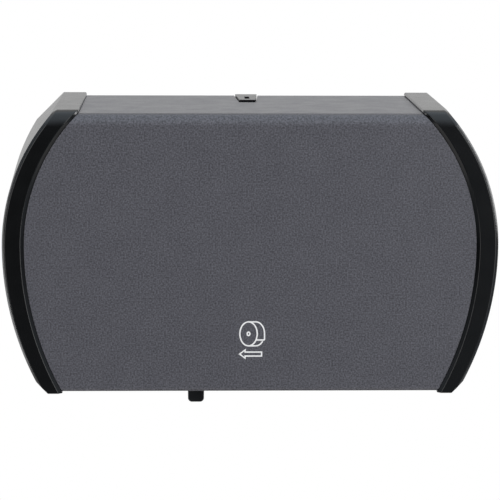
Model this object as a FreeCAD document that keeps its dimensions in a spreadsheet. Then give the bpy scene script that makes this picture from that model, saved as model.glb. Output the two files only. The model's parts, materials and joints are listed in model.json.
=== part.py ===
import FreeCAD, Part
import math
import os
import re

import Sketcher
from FreeCAD import Placement, Rotation, Vector

# Side-by-side bath tissue dispenser for two rolls, in millimetres, +Z up, +X to the right.
# The wall is the plane Y = 0 and the front faces -Y. The origin is the centre of the wall screws.
# Sizes named _out are distances from the wall, and sizes named _level are heights.

SIZES = {
    # Outline: each end is an upper and a lower arc that meet at the widest level.
    # An edge drawn in from it has its upper radius cut by a share of the inset, and its lower
    # radius raised by that share.
    "half_width": 182.0,
    "upper_radius": 148.0,
    "lower_radius": 222.0,
    "widest_level": 5.0,
    "inset_share": 0.5,
    # Cover panel: a flat front and top joined by a rounded edge, with curved ends
    "cover_height": 206.0,
    "cover_depth": 150.0,
    "rear_gap": 1.5,
    "panel_wall": 2.5,
    "edge_round": 9.0,
    "lip_round": 3.0,
    "lip_depth": 6.0,
    # End caps: a raised band around the panel's ends, and the side walls
    "cap_wall": 2.5,
    "cap_proud": 2.5,
    "cap_drop": 1.0,
    "cap_chamfer": 2.0,
    "cap_flare": 6.0,
    "corner_flare": 1.0,
    "cap_foot": 4.0,
    "band_width": 13.4,
    "lap_width": 8.0,
    # Back plate
    "plate_wall": 3.0,
    "plate_gap": 1.5,
    "rim_depth": 12.0,
    "rim_wall": 2.5,
    "seat_height": 4.0,
    "wall_hole_inset": 12.5,
    "wall_span_high": 130.0,
    "wall_hole_dia": 5.5,
    "wall_boss_dia": 18.0,
    "wall_boss_height": 5.0,
    "rib_wall": 2.0,
    "rib_height": 5.0,
    "rib_start": 36.0,
    "rib_room": 18.5,
    "rib_count": 4,
    "rib_length": 150.0,
    "recess_depth": 1.0,
    "recess_margin": 16.0,
    # Cover hinge
    "hinge_out": 14.0,
    "hinge_rise": 11.0,
    "ear_offset": 7.0,
    "ear_width": 5.0,
    "ear_radius": 8.0,
    "knuckle_radius": 7.0,
    "knuckle_gap": 0.4,
    "corner_clear": 22.0,
    "pin_dia": 5.0,
    "pin_play": 0.05,
    "pin_reach": 11.0,
    "pin_head_dia": 8.0,
    "pin_head_height": 2.0,
    # Roll arms
    "arm_inset": 59.5,
    "divider_wall": 5.0,
    "arm_wall": 3.5,
    "arm_room": 14.5,
    "arm_nose": 16.0,
    "arm_rib_wall": 2.5,
    "arm_rib_height": 5.0,
    "spindle_shift": 3.0,
    "spindle_level": 12.0,
    "hub_dia": 22.0,
    "arm_hub": 4.0,
    "divider_hub": 5.0,
    "guide_depth": 1.5,
    "guide_play": 0.3,
    "flange_wall": 3.0,
    "flange_width": 20.0,
    # Screws of the chassis
    "screw_dia": 3.8,
    "screw_hole_play": 0.3,
    "screw_bite": 5.0,
    "screw_head_dia": 7.2,
    "screw_head_height": 2.4,
    "screw_margin": 10.0,
    # Spindles: a sleeve and a sprung plunger
    "journal_dia": 9.0,
    "journal_length": 6.0,
    "journal_play": 0.05,
    "journal_chamfer": 1.0,
    "socket_relief": 0.5,
    "shoulder_gap": 0.3,
    "barrel_dia": 20.0,
    "plunger_show": 38.4,
    "barrel_floor": 6.0,
    "barrel_chamfer": 1.0,
    "plunger_dia": 16.0,
    "plunger_play": 0.05,
    "collar_width": 5.0,
    "roll_spring_length": 24.0,
    "roll_spring_dia": 13.0,
    "roll_spring_wire": 1.2,
    "roll_spring_turns": 5,
    # Shutter and its rails
    "gate_rise": 15.0,
    "gate_wall": 2.5,
    "gate_trim": 4.5,
    "gate_place": 12.0,
    "gate_play": 0.3,
    "gate_end_gap": 0.5,
    "gate_lip_wall": 2.5,
    "gate_lip_height": 6.0,
    "gate_rib_wall": 2.0,
    "gate_rib_height": 3.0,
    "gate_rib_step": 20.0,
    "gate_rib_count": 5,
    "rail_front_gap": 10.0,
    "rail_rear_out": 18.0,
    "rail_wall": 3.0,
    "rail_web": 5.0,
    "rail_grip": 7.0,
    "bracket_margin": 4.0,
    "bracket_root": 34.0,
    "bracket_taper_out": 44.0,
    "rail_screw_dia": 3.0,
    "rail_screw_bite": 10.0,
    "rail_screw_head_dia": 5.6,
    # Finger tab under the shutter
    "tab_inset": 7.0,
    "tab_width": 12.8,
    "tab_tip_width": 12.0,
    "tab_depth": 8.0,
    "tab_length": 27.0,
    "tab_round": 3.0,
    "tab_setback": 1.5,
    "stem_width": 8.0,
    "stem_depth": 4.4,
    "stem_play": 0.1,
    "tab_screw_dia": 2.4,
    "tab_screw_bite": 8.0,
    # Latch
    "latch_out": 16.0,
    "latch_drop": 6.5,
    "latch_hub_radius": 5.0,
    "latch_hub_width": 18.0,
    "latch_side_gap": 0.5,
    "latch_pin_dia": 3.0,
    "latch_pin_play": 0.05,
    "latch_ear_wall": 3.0,
    "latch_ear_root": 14.0,
    "latch_base_width": 44.0,
    "latch_base_height": 30.0,
    "latch_screw_span": 32.0,
    "latch_arm_width": 10.0,
    "latch_arm_drop": 2.0,
    "button_rear_width": 17.0,
    "button_front_width": 12.4,
    "button_start_out": 3.0,
    "button_length": 47.0,
    "button_proud": 1.2,
    "button_clear": 0.5,
    "button_side_gap": 0.6,
    "button_front_gap": 8.0,
    "key_slot_width": 3.6,
    "key_slot_length": 17.0,
    "key_slot_start": 21.0,
    "key_slot_depth": 5.0,
    "strike_wall": 4.0,
    "strike_height": 4.0,
    "strike_width": 16.0,
    "nose_clear": 1.0,
    "nose_gap": 0.7,
    "nose_length": 5.5,
    "nose_ramp": 3.5,
    "barb_clear": 0.5,
    "shelf_wall": 3.0,
    "shelf_width": 14.0,
    "shelf_end_out": 51.0,
    "latch_spring_out": 44.0,
    "latch_spring_dia": 7.0,
    "latch_spring_wire": 0.9,
    "latch_spring_turns": 5,
    # Springs: the lead-in at each end, in wire diameters
    "spring_lead": 2.5,
}

DERIVED = {
    "cover_top": "cover_height / 2",
    "cover_bottom": "-cover_height / 2",
    "cover_under": "cover_top - panel_wall",
    "cap_inset": "band_width + cap_proud",
    "cap_front": "cover_depth + cap_proud",
    "cap_top": "cover_top + cap_proud",
    "cap_bottom": "cover_bottom - cap_drop",
    "cap_corner": "hinge_rise + cap_drop",
    "lap_inset": "cap_inset + lap_width",
    "lap_front": "cover_depth - panel_wall",
    "plate_top": "cover_under - cap_wall - plate_gap",
    "plate_bottom": "cover_bottom + plate_gap",
    "plate_inset": "cap_wall + plate_gap - cap_flare / 4",
    "seat_out": "plate_wall + seat_height",
    "flange_out": "seat_out + flange_wall",
    "hinge_level": "cover_bottom + hinge_rise",
    "arm_inner": "half_width - arm_inset",
    "arm_outer": "arm_inner + arm_wall",
    "arm_high": "latch_base_low - arm_room",
    "arm_low": "2 * spindle_level - arm_high",
    "flange_edge": "arm_inner - flange_width",
    "flange_middle": "arm_inner - flange_width / 2",
    "wall_hole_place": "flange_edge - wall_hole_inset",
    "rib_step": "(flange_edge - rib_start - rib_room) / (rib_count - 1)",
    "spindle_out": "cover_depth / 2 + spindle_shift",
    "divider_flange": "divider_wall / 2 + flange_width",
    "divider_middle": "divider_wall / 2 + flange_width / 2",
    "socket_depth": "journal_length + socket_relief",
    "socket_radius": "journal_dia / 2 + journal_play",
    "ear_inner": "arm_outer + ear_offset",
    "ear_outer": "ear_inner + ear_width",
    "knuckle_start": "ear_outer + knuckle_gap",
    "barrel_start": "divider_wall / 2 + divider_hub + shoulder_gap",
    "barrel_end": "collar_start - plunger_show",
    "bore_end": "barrel_start + barrel_floor",
    "plunger_tip": "bore_end + roll_spring_length",
    "plunger_shoulder": "arm_inner - arm_hub - shoulder_gap",
    "collar_start": "plunger_shoulder - collar_width",
    "gate_width": "arm_inner - gate_trim",
    "rail_front_out": "cover_depth - rail_front_gap",
    "gate_level": "cover_bottom + gate_rise",
    "gate_low": "gate_level - gate_wall / 2",
    "gate_high": "gate_level + gate_wall / 2",
    "gate_left": "gate_place - gate_width / 2",
    "gate_right": "gate_place + gate_width / 2",
    "gate_front": "rail_front_out - rail_web - gate_end_gap",
    "gate_rear": "rail_rear_out + rail_web + gate_end_gap",
    "rail_low": "gate_low - gate_play - rail_wall",
    "rail_high": "gate_high + gate_play + rail_wall",
    "front_channel": "rail_front_out - rail_web",
    "front_mouth": "front_channel - rail_grip",
    "rear_channel": "rail_rear_out + rail_web",
    "rear_mouth": "rear_channel + rail_grip",
    "bracket_low": "rail_low - bracket_margin",
    "bracket_high": "rail_high + bracket_margin",
    "bracket_top": "bracket_low + bracket_root",
    "tab_place": "gate_left + tab_inset",
    "tab_front": "front_mouth - tab_setback",
    "tab_middle": "tab_front - tab_depth / 2",
    "tab_bottom": "gate_low - tab_length",
    "latch_level": "plate_top - latch_drop",
    "latch_base_low": "plate_top - latch_base_height",
    "latch_ear_start": "latch_hub_width / 2 + latch_side_gap",
    "latch_ear_end": "latch_ear_start + latch_ear_wall",
    "latch_arm_under": "latch_level - latch_arm_drop",
    "latch_screw_level": "latch_base_low + screw_margin",
    "button_under": "plate_top + button_clear",
    "button_top": "cover_top + button_proud",
    "button_end": "button_start_out + button_length",
    "strike_rear": "button_end + button_front_gap",
    "strike_front": "strike_rear + strike_wall",
    "strike_under": "cover_under - strike_height",
    "nose_top": "strike_under - nose_clear",
    "barb_rear": "strike_front + nose_gap",
    "barb_front": "barb_rear + nose_length",
    "barb_top": "cover_under - barb_clear",
    "shelf_top": "latch_base_low + shelf_wall",
    "latch_spring_length": "latch_arm_under - shelf_top",
}

PLANE_ROLES = {"XY": "XY_Plane", "XZ": "XZ_Plane", "YZ": "YZ_Plane"}
PLANE_TURNS = {
    "XY": Rotation(),
    "XZ": Rotation(Vector(1, 0, 0), 90),
    "YZ": Rotation(Vector(1, 1, 1), 120),
}
PLANE_OFFSETS = {"XY": ("z", ""), "XZ": ("y", "-"), "YZ": ("x", "")}


def bind(formula):
    """Writes a formula of size names as one of spreadsheet cells."""
    def cell(match):
        word = match.group(0)
        if word in DERIVED:
            return "(" + bind(DERIVED[word]) + ")"
        return "sizes." + word if word in SIZES else word
    return re.sub(r"[a-z][a-z_]*", cell, formula)


def arc_radius(half, inset):
    """Radius of the upper or lower arc of an edge drawn in from the outline."""
    sign = "-" if half == "upper" else "+"
    return f"({half}_radius {sign} inset_share * ({inset}))"


def edge_at(half, level, inset):
    """Half width of the dispenser at a height on the upper or lower arc of such an edge."""
    radius = arc_radius(half, inset)
    return f"half_width - ({inset}) - {radius} + sqrt({radius} ^ 2 - ({level} - widest_level) ^ 2)"


def side_arcs(low, high, inset, sign="", rising=False):
    """Corners of one curved end, drawn downwards or upwards, the last one without its arc."""
    corners = [
        (f"{sign}({edge_at('upper', high, inset)})", high),
        (f"{sign}(half_width - ({inset}))", "widest_level"),
        (f"{sign}({edge_at('lower', low, inset)})", low),
    ]
    radii = [arc_radius("upper", inset), arc_radius("lower", inset)]
    if rising:
        corners.reverse()
        radii.reverse()
    turn = "cw" if rising == (sign == "-") else "ccw"
    arcs = [(*corner, (turn, radius)) for corner, radius in zip(corners, radii)]
    return arcs + corners[2:]


def barrel(low, high, inset):
    """Outline with flat top and bottom and curved ends."""
    return side_arcs(low, high, inset) + side_arcs(low, high, inset, "-", rising=True)


def band(low, high, outer, inner):
    """Strip between two edges drawn in from the right-hand end."""
    return side_arcs(low, high, outer) + side_arcs(low, high, inner, rising=True)


def rectangle(left, low, right, high):
    """Four corners from two opposite ones."""
    return [(left, low), (right, low), (right, high), (left, high)]


class Modeller:
    """Keeps the document and its size sheet, and draws features bound to the sheet."""

    def __init__(self):
        self.doc = FreeCAD.newDocument("dispenser")
        self.pieces = []
        self.sheet = self.doc.addObject("Spreadsheet::Sheet", "sizes")
        for row, (alias, size) in enumerate(SIZES.items(), start=1):
            self.sheet.set(f"A{row}", alias)
            self.sheet.set(f"B{row}", str(size))
            self.sheet.setAlias(f"B{row}", alias)
        self.doc.recompute()

    def value(self, formula):
        """Number that a formula of sizes comes to."""
        return float(self.sheet.evalExpression(bind(formula)))

    def keep(self, piece, label):
        """Names a finished piece, which is written out under that name."""
        piece.Label = label
        self.pieces.append(piece)
        return piece

    def body(self, label):
        """New body for one piece."""
        return self.keep(self.doc.addObject("PartDesign::Body", label), label)

    def origin(self, body, role):
        """Plane or axis of a body's own origin."""
        return next(item for item in body.Origin.OriginFeatures if item.Role == role)

    def sketch(self, body, plane, offset="0"):
        """Sketch on one of the body's origin planes, moved along the plane's normal."""
        drawing = body.newObject("Sketcher::SketchObject", body.Name + "_sketch")
        drawing.AttachmentSupport = [(self.origin(body, PLANE_ROLES[plane]), "")]
        drawing.MapMode = "FlatFace"
        drawing.setExpression("AttachmentOffset.Base.z", bind(offset))
        return drawing

    def hold(self, drawing, kind, *terms):
        """Adds a sized constraint and ties its size to a formula, the last term."""
        *where, formula = terms
        index = drawing.addConstraint(Sketcher.Constraint(kind, *where, self.value(formula)))
        drawing.setExpression(f"Constraints[{index}]", bind(formula))

    def pin(self, drawing, curve, point, across, up):
        """Places a point of a curve by its two distances from the sketch's origin."""
        self.hold(drawing, "DistanceX", -1, 1, curve, point, across)
        self.hold(drawing, "DistanceY", -1, 1, curve, point, up)

    def arc_between(self, first, last, radius, turn):
        """Arc of under half a circle from one point to the next, with its end numbers."""
        chord = last - first
        side = Vector(-chord.y, chord.x, 0).normalize() * (1 if turn == "ccw" else -1)
        centre = (first + last) * 0.5 + side * math.sqrt(radius ** 2 - (chord.Length / 2) ** 2)
        start, end = (first, last) if turn == "ccw" else (last, first)
        angles = [math.atan2(p.y - centre.y, p.x - centre.x) for p in (start, end)]
        if angles[1] < angles[0]:
            angles[1] += 2 * math.pi
        circle = Part.Circle(centre, Vector(0, 0, 1), radius)
        return Part.ArcOfCircle(circle, *angles), ((1, 2) if turn == "ccw" else (2, 1))

    def loop(self, drawing, corners):
        """Closed outline; a corner may carry the turn and radius of the arc to the next one."""
        points = [Vector(self.value(c[0]), self.value(c[1]), 0) for c in corners]
        curves = []
        for index, corner in enumerate(corners):
            following = points[(index + 1) % len(points)]
            if len(corner) == 2:
                curve, ends = Part.LineSegment(points[index], following), (1, 2)
            else:
                turn, radius = corner[2]
                curve, ends = self.arc_between(points[index], following, self.value(radius), turn)
            curves.append((drawing.addGeometry(curve, False), ends))
        for (curve, ends), (after, after_ends) in zip(curves, curves[1:] + curves[:1]):
            drawing.addConstraint(
                Sketcher.Constraint("Coincident", curve, ends[1], after, after_ends[0]))
        for (curve, ends), corner in zip(curves, corners):
            self.pin(drawing, curve, ends[0], corner[0], corner[1])
            if len(corner) == 3:
                self.hold(drawing, "Radius", curve, corner[2][1])
        return drawing

    def circle(self, drawing, across, up, radius):
        """Full circle."""
        centre = Vector(self.value(across), self.value(up), 0)
        shape = Part.Circle(centre, Vector(0, 0, 1), self.value(radius))
        curve = drawing.addGeometry(shape, False)
        self.pin(drawing, curve, 3, across, up)
        self.hold(drawing, "Radius", curve, radius)
        return drawing

    def tapered(self, drawing, root, low, high, centre, level, radius):
        """Arm that tapers from a straight root to a round nose, with tangent edges."""
        middle = Vector(self.value(centre), self.value(level), 0)
        reach = self.value(radius)
        roots = [Vector(self.value(root), self.value(end), 0) for end in (low, high)]
        touches = []
        for point, way in zip(roots, (-1, 1)):
            span = point - middle
            angle = math.atan2(span.y, span.x) + way * math.acos(reach / span.Length)
            touches.append(angle % (2 * math.pi))
        spots = [middle + Vector(math.cos(a), math.sin(a), 0) * reach for a in touches]
        lower = drawing.addGeometry(Part.LineSegment(roots[0], spots[0]), False)
        rim = Part.Circle(middle, Vector(0, 0, 1), reach)
        nose = drawing.addGeometry(Part.ArcOfCircle(rim, touches[1], touches[0]), False)
        upper = drawing.addGeometry(Part.LineSegment(spots[1], roots[1]), False)
        back = drawing.addGeometry(Part.LineSegment(roots[1], roots[0]), False)
        drawing.addConstraint(Sketcher.Constraint("Tangent", lower, 2, nose, 2))
        drawing.addConstraint(Sketcher.Constraint("Tangent", nose, 1, upper, 1))
        drawing.addConstraint(Sketcher.Constraint("Coincident", upper, 2, back, 1))
        drawing.addConstraint(Sketcher.Constraint("Coincident", back, 2, lower, 1))
        self.pin(drawing, lower, 1, root, low)
        self.pin(drawing, back, 1, root, high)
        self.pin(drawing, nose, 3, centre, level)
        self.hold(drawing, "Radius", nose, radius)
        return drawing

    def feature(self, body, kind, drawing, length, back, both):
        """Straight feature from a sketch, along its normal, against it or to both sides."""
        made = body.newObject("PartDesign::" + kind, f"{body.Name}_{kind.lower()}")
        made.Profile = drawing
        made.Reversed = back
        if both:
            made.SideType = "Symmetric"
        if length:
            made.setExpression("Length", bind(length))
        else:
            made.Type = "ThroughAll"
        drawing.Visibility = False
        self.doc.recompute()
        return made

    def pad(self, body, drawing, length, back=False, both=False):
        """Adds material from a sketch."""
        return self.feature(body, "Pad", drawing, length, back, both)

    def pocket(self, body, drawing, length="", back=False, both=False):
        """Cuts a sketch against its normal, or along it if back is set, and proves the cut."""
        before = body.Shape.Volume
        made = self.feature(body, "Pocket", drawing, length, back, both)
        if body.Shape.Volume > before - 1e-3:
            raise RuntimeError(f"{made.Label} cuts nothing")
        return made

    def revolve(self, body, corners):
        """Solid of revolution about the body's own X axis."""
        drawing = self.loop(self.sketch(body, "XY"), corners)
        made = body.newObject("PartDesign::Revolution", body.Name + "_turn")
        made.Profile = drawing
        made.ReferenceAxis = (self.origin(body, "X_Axis"), [""])
        made.Angle = 360
        self.doc.recompute()
        return made

    def repeat(self, body, original, axis, length, count):
        """Row of copies of a feature along an origin axis."""
        row = body.newObject("PartDesign::LinearPattern", body.Name + "_row")
        row.Originals = [original]
        row.Direction = (self.origin(body, axis), [""])
        row.setExpression("Length", bind(length))
        row.setExpression("Occurrences", bind(count))
        body.Tip = row
        self.doc.recompute()
        return row

    def prism(self, plane, corners, start, length, lean=None):
        """Straight solid on a drawing of its own, along its normal or both ways along a lean."""
        drawing = self.doc.addObject("Sketcher::SketchObject", "drawing")
        drawing.Placement = Placement(Vector(), PLANE_TURNS[plane])
        axis, sign = PLANE_OFFSETS[plane]
        drawing.setExpression(f"Placement.Base.{axis}", bind(f"{sign}({start})"))
        self.loop(drawing, corners)
        solid = self.doc.addObject("Part::Extrusion", "prism")
        solid.Base = drawing
        solid.DirMode = "Custom" if lean else "Normal"
        solid.Solid = True
        solid.setExpression("LengthFwd", bind(length))
        if lean:
            solid.Dir = lean
            solid.setExpression("LengthRev", bind(length))
        self.doc.recompute()
        return solid

    def rod(self, start, length, radius, out, level):
        """Round bar along X."""
        bar = self.doc.addObject("Part::Cylinder", "rod")
        bar.setExpression("Radius", bind(radius))
        bar.setExpression("Height", bind(length))
        bar.Placement = Placement(Vector(), Rotation(Vector(0, 1, 0), 90))
        for axis, formula in zip("xyz", (start, f"-({out})", level)):
            bar.setExpression(f"Placement.Base.{axis}", bind(formula))
        return bar

    def joined(self, kind, first, second):
        """Boolean of two solids: Common, Fuse or Cut."""
        result = self.doc.addObject("Part::" + kind, kind.lower())
        result.Base = first
        result.Tool = second
        self.doc.recompute()
        return result

    def mirrored(self, piece, label):
        """Left-hand copy of a right-hand piece."""
        copy = self.doc.addObject("Part::Mirroring", label)
        copy.Source = piece
        copy.Normal = Vector(1, 0, 0)
        self.doc.recompute()
        return self.keep(copy, label)

    def place(self, body, out, level):
        """Moves a body to an axis that runs along X."""
        body.setExpression("Placement.Base.y", bind(f"-({out})"))
        body.setExpression("Placement.Base.z", bind(level))
        self.doc.recompute()

    def finish(self, folder):
        """Checks every object and writes each piece to its own file."""
        self.doc.recompute()
        for item in self.doc.Objects:
            if {"Invalid", "Error"} & set(item.State):
                raise RuntimeError(f"{item.Label} did not build: {item.State}")
        for piece in self.pieces:
            if piece.Shape.isNull() or not piece.Shape.isValid():
                raise RuntimeError(f"{piece.Label} has no valid shape")
        os.makedirs(folder, exist_ok=True)
        for piece in self.pieces:
            piece.Shape.exportStep(os.path.join(folder, piece.Label + ".step"))


def arm_screw_spots():
    """Places of the screws that hold the three roll arms, across and up."""
    spots = []
    for across in ("flange_middle", "divider_middle"):
        for level in ("arm_low + screw_margin", "arm_high - screw_margin"):
            spots += [(across, level), ("-" + across, level)]
    return spots


def bracket_screw_spots():
    """Places of the screws that hold the two rail brackets."""
    levels = ("bracket_low + screw_margin", "bracket_top - screw_margin")
    return [(sign + "flange_middle", level) for level in levels for sign in ("", "-")]


def latch_screw_spots():
    """Places of the screws that hold the latch bracket."""
    return [(sign + "latch_screw_span / 2", "latch_screw_level") for sign in ("", "-")]


def chassis_screws(model, label, spots):
    """Pan-head screws driven towards the wall, with their heads on the flanges."""
    screws = model.body(label)
    heads = model.sketch(screws, "XZ", "flange_out")
    shanks = model.sketch(screws, "XZ", "flange_out")
    for across, level in spots:
        model.circle(heads, across, level, "screw_head_dia / 2")
        model.circle(shanks, across, level, "screw_dia / 2")
    model.pad(screws, heads, "screw_head_height")
    model.pad(screws, shanks, "flange_wall + screw_bite", back=True)


def back_plate(model):
    """Wall plate: rimmed tray with screw bosses, seats, ribs and the hinge ears."""
    plate = model.body("back_plate")
    outline = barrel("plate_bottom", "plate_top", "plate_inset")
    inside = barrel("plate_bottom + rim_wall", "plate_top - rim_wall", "plate_inset + rim_wall")
    model.pad(plate, model.loop(model.sketch(plate, "XZ"), outline), "plate_wall")
    rim = model.loop(model.sketch(plate, "XZ"), outline)
    model.pad(plate, model.loop(rim, inside), "rim_depth")

    bosses = model.sketch(plate, "XZ", "plate_wall")
    holes = model.sketch(plate, "XZ")
    for sign in ("", "-"):
        for side in ("", "-"):
            spot = (sign + "wall_hole_place", side + "wall_span_high / 2")
            model.circle(bosses, *spot, "wall_boss_dia / 2")
            model.circle(holes, *spot, "wall_hole_dia / 2")
    model.pad(plate, bosses, "wall_boss_height")

    seats = model.sketch(plate, "XZ", "plate_wall")
    for sign in ("", "-"):
        sides = [f"{sign}(flange_edge)", f"{sign}(arm_outer)"]
        model.loop(seats, rectangle(sides[0], "arm_low", sides[1], "arm_high"))
        model.loop(seats, rectangle(sides[0], "bracket_low", sides[1], "bracket_top"))
    model.loop(seats, rectangle("-divider_flange", "arm_low", "divider_flange", "arm_high"))
    half_base = "latch_base_width / 2"
    model.loop(seats, rectangle("-" + half_base, "latch_base_low", half_base, "plate_top"))
    model.pad(plate, seats, "seat_height")

    for way in ("", "-"):
        first = f"{way}rib_start"
        last = f"{way}(rib_start + rib_wall)"
        drawing = model.sketch(plate, "XZ", "plate_wall")
        model.loop(drawing, rectangle(first, "-rib_length / 2", last, "rib_length / 2"))
        rib = model.pad(plate, drawing, "rib_height")
        row = model.repeat(plate, rib, "X_Axis", "rib_step * (rib_count - 1)", "rib_count")
        row.Reversed = way == "-"

    for way in ("", "-"):
        ear = model.sketch(plate, "YZ", f"{way}ear_inner")
        model.loop(ear, [
            ("0", "hinge_level + ear_radius"),
            ("-hinge_out", "hinge_level + ear_radius", ("ccw", "ear_radius")),
            ("-hinge_out - ear_radius", "hinge_level", ("ccw", "ear_radius")),
            ("-hinge_out", "hinge_level - ear_radius"),
            ("0", "hinge_level - ear_radius"),
        ])
        model.pad(plate, ear, "ear_width", back=way == "-")

    corners = model.sketch(plate, "XZ")
    for way in ("", "-"):
        model.loop(corners, rectangle(
            f"{way}ear_outer", "cap_bottom", f"{way}half_width", "hinge_level + corner_clear"))
    model.pocket(plate, corners, back=True)

    notch = model.sketch(plate, "XZ", "rim_depth")
    model.loop(notch, rectangle(
        "-" + half_base, "plate_top - rim_wall", half_base, "cover_top"))
    model.pocket(plate, notch, "rim_depth - seat_out")

    field = model.sketch(plate, "XZ")
    model.loop(field, barrel(
        "-wall_span_high / 2 + recess_margin", "wall_span_high / 2 - recess_margin",
        "plate_inset + recess_margin"))
    model.pocket(plate, field, "recess_depth", back=True)

    model.pocket(plate, holes, back=True)
    bores = model.sketch(plate, "YZ")
    model.pocket(plate, model.circle(bores, "-hinge_out", "hinge_level", "pin_dia / 2"), both=True)
    pilots = model.sketch(plate, "XZ", "seat_out")
    for across, level in arm_screw_spots() + bracket_screw_spots() + latch_screw_spots():
        model.circle(pilots, across, level, "screw_dia / 2")
    model.pocket(plate, pilots, "screw_bite")


def flange_holes(model, body, spots):
    """Clearance holes for the screws through a flange."""
    drawing = model.sketch(body, "XZ", "flange_out")
    for across, level in spots:
        model.circle(drawing, across, level, "screw_dia / 2 + screw_hole_play")
    model.pocket(body, drawing, "flange_wall")


def socket(model, arm, face, back):
    """Blind spindle socket with a guide groove that runs in from the arm's front edge."""
    hole = model.sketch(arm, "YZ", face)
    model.circle(hole, "-spindle_out", "spindle_level", "socket_radius")
    model.pocket(arm, hole, "socket_depth", back=back)
    half_guide = "(socket_radius + guide_play)"
    groove = model.sketch(arm, "YZ", face)
    model.loop(groove, rectangle(
        "-spindle_out - 2 * arm_nose", f"spindle_level - {half_guide}",
        "-spindle_out", f"spindle_level + {half_guide}"))
    model.pocket(arm, groove, "guide_depth", back=back)


def roll_arms(model):
    """Side arms and centre arm that hold the spindles, and their screws."""
    arm = model.body("right_roll_arm")
    shape = ("-flange_out", "arm_low", "arm_high", "-spindle_out", "spindle_level")
    plate = model.tapered(model.sketch(arm, "YZ", "arm_inner"), *shape, "arm_nose")
    model.pad(arm, plate, "arm_wall")
    flange = model.sketch(arm, "XZ", "seat_out")
    model.loop(flange, rectangle("flange_edge", "arm_low", "arm_outer", "arm_high"))
    model.pad(arm, flange, "flange_wall")
    hub = model.sketch(arm, "YZ", "arm_inner")
    model.circle(hub, "-spindle_out", "spindle_level", "hub_dia / 2")
    model.pad(arm, hub, "arm_hub", back=True)
    rib = model.sketch(arm, "YZ", "arm_outer")
    model.loop(rib, rectangle(
        "-spindle_out", "spindle_level - arm_rib_wall / 2",
        "-seat_out", "spindle_level + arm_rib_wall / 2"))
    model.pad(arm, rib, "arm_rib_height")
    socket(model, arm, "arm_inner - arm_hub", True)
    flange_holes(model, arm, arm_screw_spots()[0:4:2])
    model.mirrored(arm, "left_roll_arm")

    centre = model.body("center_roll_arm")
    plate = model.tapered(model.sketch(centre, "YZ"), *shape, "arm_nose")
    model.pad(centre, plate, "divider_wall", both=True)
    flange = model.sketch(centre, "XZ", "seat_out")
    model.loop(flange, rectangle("-divider_flange", "arm_low", "divider_flange", "arm_high"))
    model.pad(centre, flange, "flange_wall")
    hub = model.sketch(centre, "YZ")
    model.circle(hub, "-spindle_out", "spindle_level", "hub_dia / 2")
    model.pad(centre, hub, "divider_wall + 2 * divider_hub", both=True)
    socket(model, centre, "divider_wall / 2 + divider_hub", False)
    socket(model, centre, "-divider_wall / 2 - divider_hub", True)
    flange_holes(model, centre, arm_screw_spots()[4:])
    chassis_screws(model, "arm_screws", arm_screw_spots())


def rails(model):
    """Brackets at the sides, the two channels that the shutter runs in, and their screws."""
    bracket = model.body("right_rail_bracket")
    side = model.sketch(bracket, "YZ", "arm_inner")
    model.loop(side, [
        ("-seat_out", "bracket_low"),
        ("-seat_out", "bracket_top"),
        ("-flange_out", "bracket_top"),
        ("-bracket_taper_out", "bracket_high"),
        ("-rail_front_out + bracket_margin", "bracket_high", ("ccw", "bracket_margin")),
        ("-rail_front_out", "bracket_high - bracket_margin"),
        ("-rail_front_out", "bracket_low + bracket_margin", ("ccw", "bracket_margin")),
        ("-rail_front_out + bracket_margin", "bracket_low"),
    ])
    model.pad(bracket, side, "arm_wall")
    flange = model.sketch(bracket, "XZ", "seat_out")
    model.loop(flange, rectangle("flange_edge", "bracket_low", "arm_outer", "bracket_top"))
    model.pad(bracket, flange, "flange_wall")
    flange_holes(model, bracket, bracket_screw_spots()[0::2])
    rail_spots = ("-rail_front_out + rail_web / 2", "-rail_rear_out - rail_web / 2")
    holes = model.sketch(bracket, "YZ", "arm_outer")
    for along in rail_spots:
        model.circle(holes, along, "gate_level", "rail_screw_dia / 2 + screw_hole_play")
    model.pocket(bracket, holes, "arm_wall")
    model.mirrored(bracket, "left_rail_bracket")

    channels = {
        "front_rail": ("-rail_front_out", "-front_channel", "-front_mouth"),
        "rear_rail": ("-rail_rear_out", "-rear_channel", "-rear_mouth"),
    }
    for (label, (face, web, mouth)), along in zip(channels.items(), rail_spots):
        rail = model.body(label)
        section = model.sketch(rail, "YZ")
        model.loop(section, [
            (face, "rail_low"),
            (mouth, "rail_low"),
            (mouth, "rail_low + rail_wall"),
            (web, "rail_low + rail_wall"),
            (web, "rail_high - rail_wall"),
            (mouth, "rail_high - rail_wall"),
            (mouth, "rail_high"),
            (face, "rail_high"),
        ])
        model.pad(rail, section, "2 * arm_inner", both=True)
        for way in ("", "-"):
            pilot = model.sketch(rail, "YZ", f"{way}arm_inner")
            model.circle(pilot, along, "gate_level", "rail_screw_dia / 2")
            model.pocket(rail, pilot, "rail_screw_bite", back=way == "-")

    screws = model.body("right_rail_screws")
    heads = model.sketch(screws, "YZ", "arm_outer")
    shanks = model.sketch(screws, "YZ", "arm_outer")
    for along in rail_spots:
        model.circle(heads, along, "gate_level", "rail_screw_head_dia / 2")
        model.circle(shanks, along, "gate_level", "rail_screw_dia / 2")
    model.pad(screws, heads, "screw_head_height")
    model.pad(screws, shanks, "arm_wall + rail_screw_bite", back=True)
    model.mirrored(screws, "left_rail_screws")
    chassis_screws(model, "bracket_screws", bracket_screw_spots())


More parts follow.
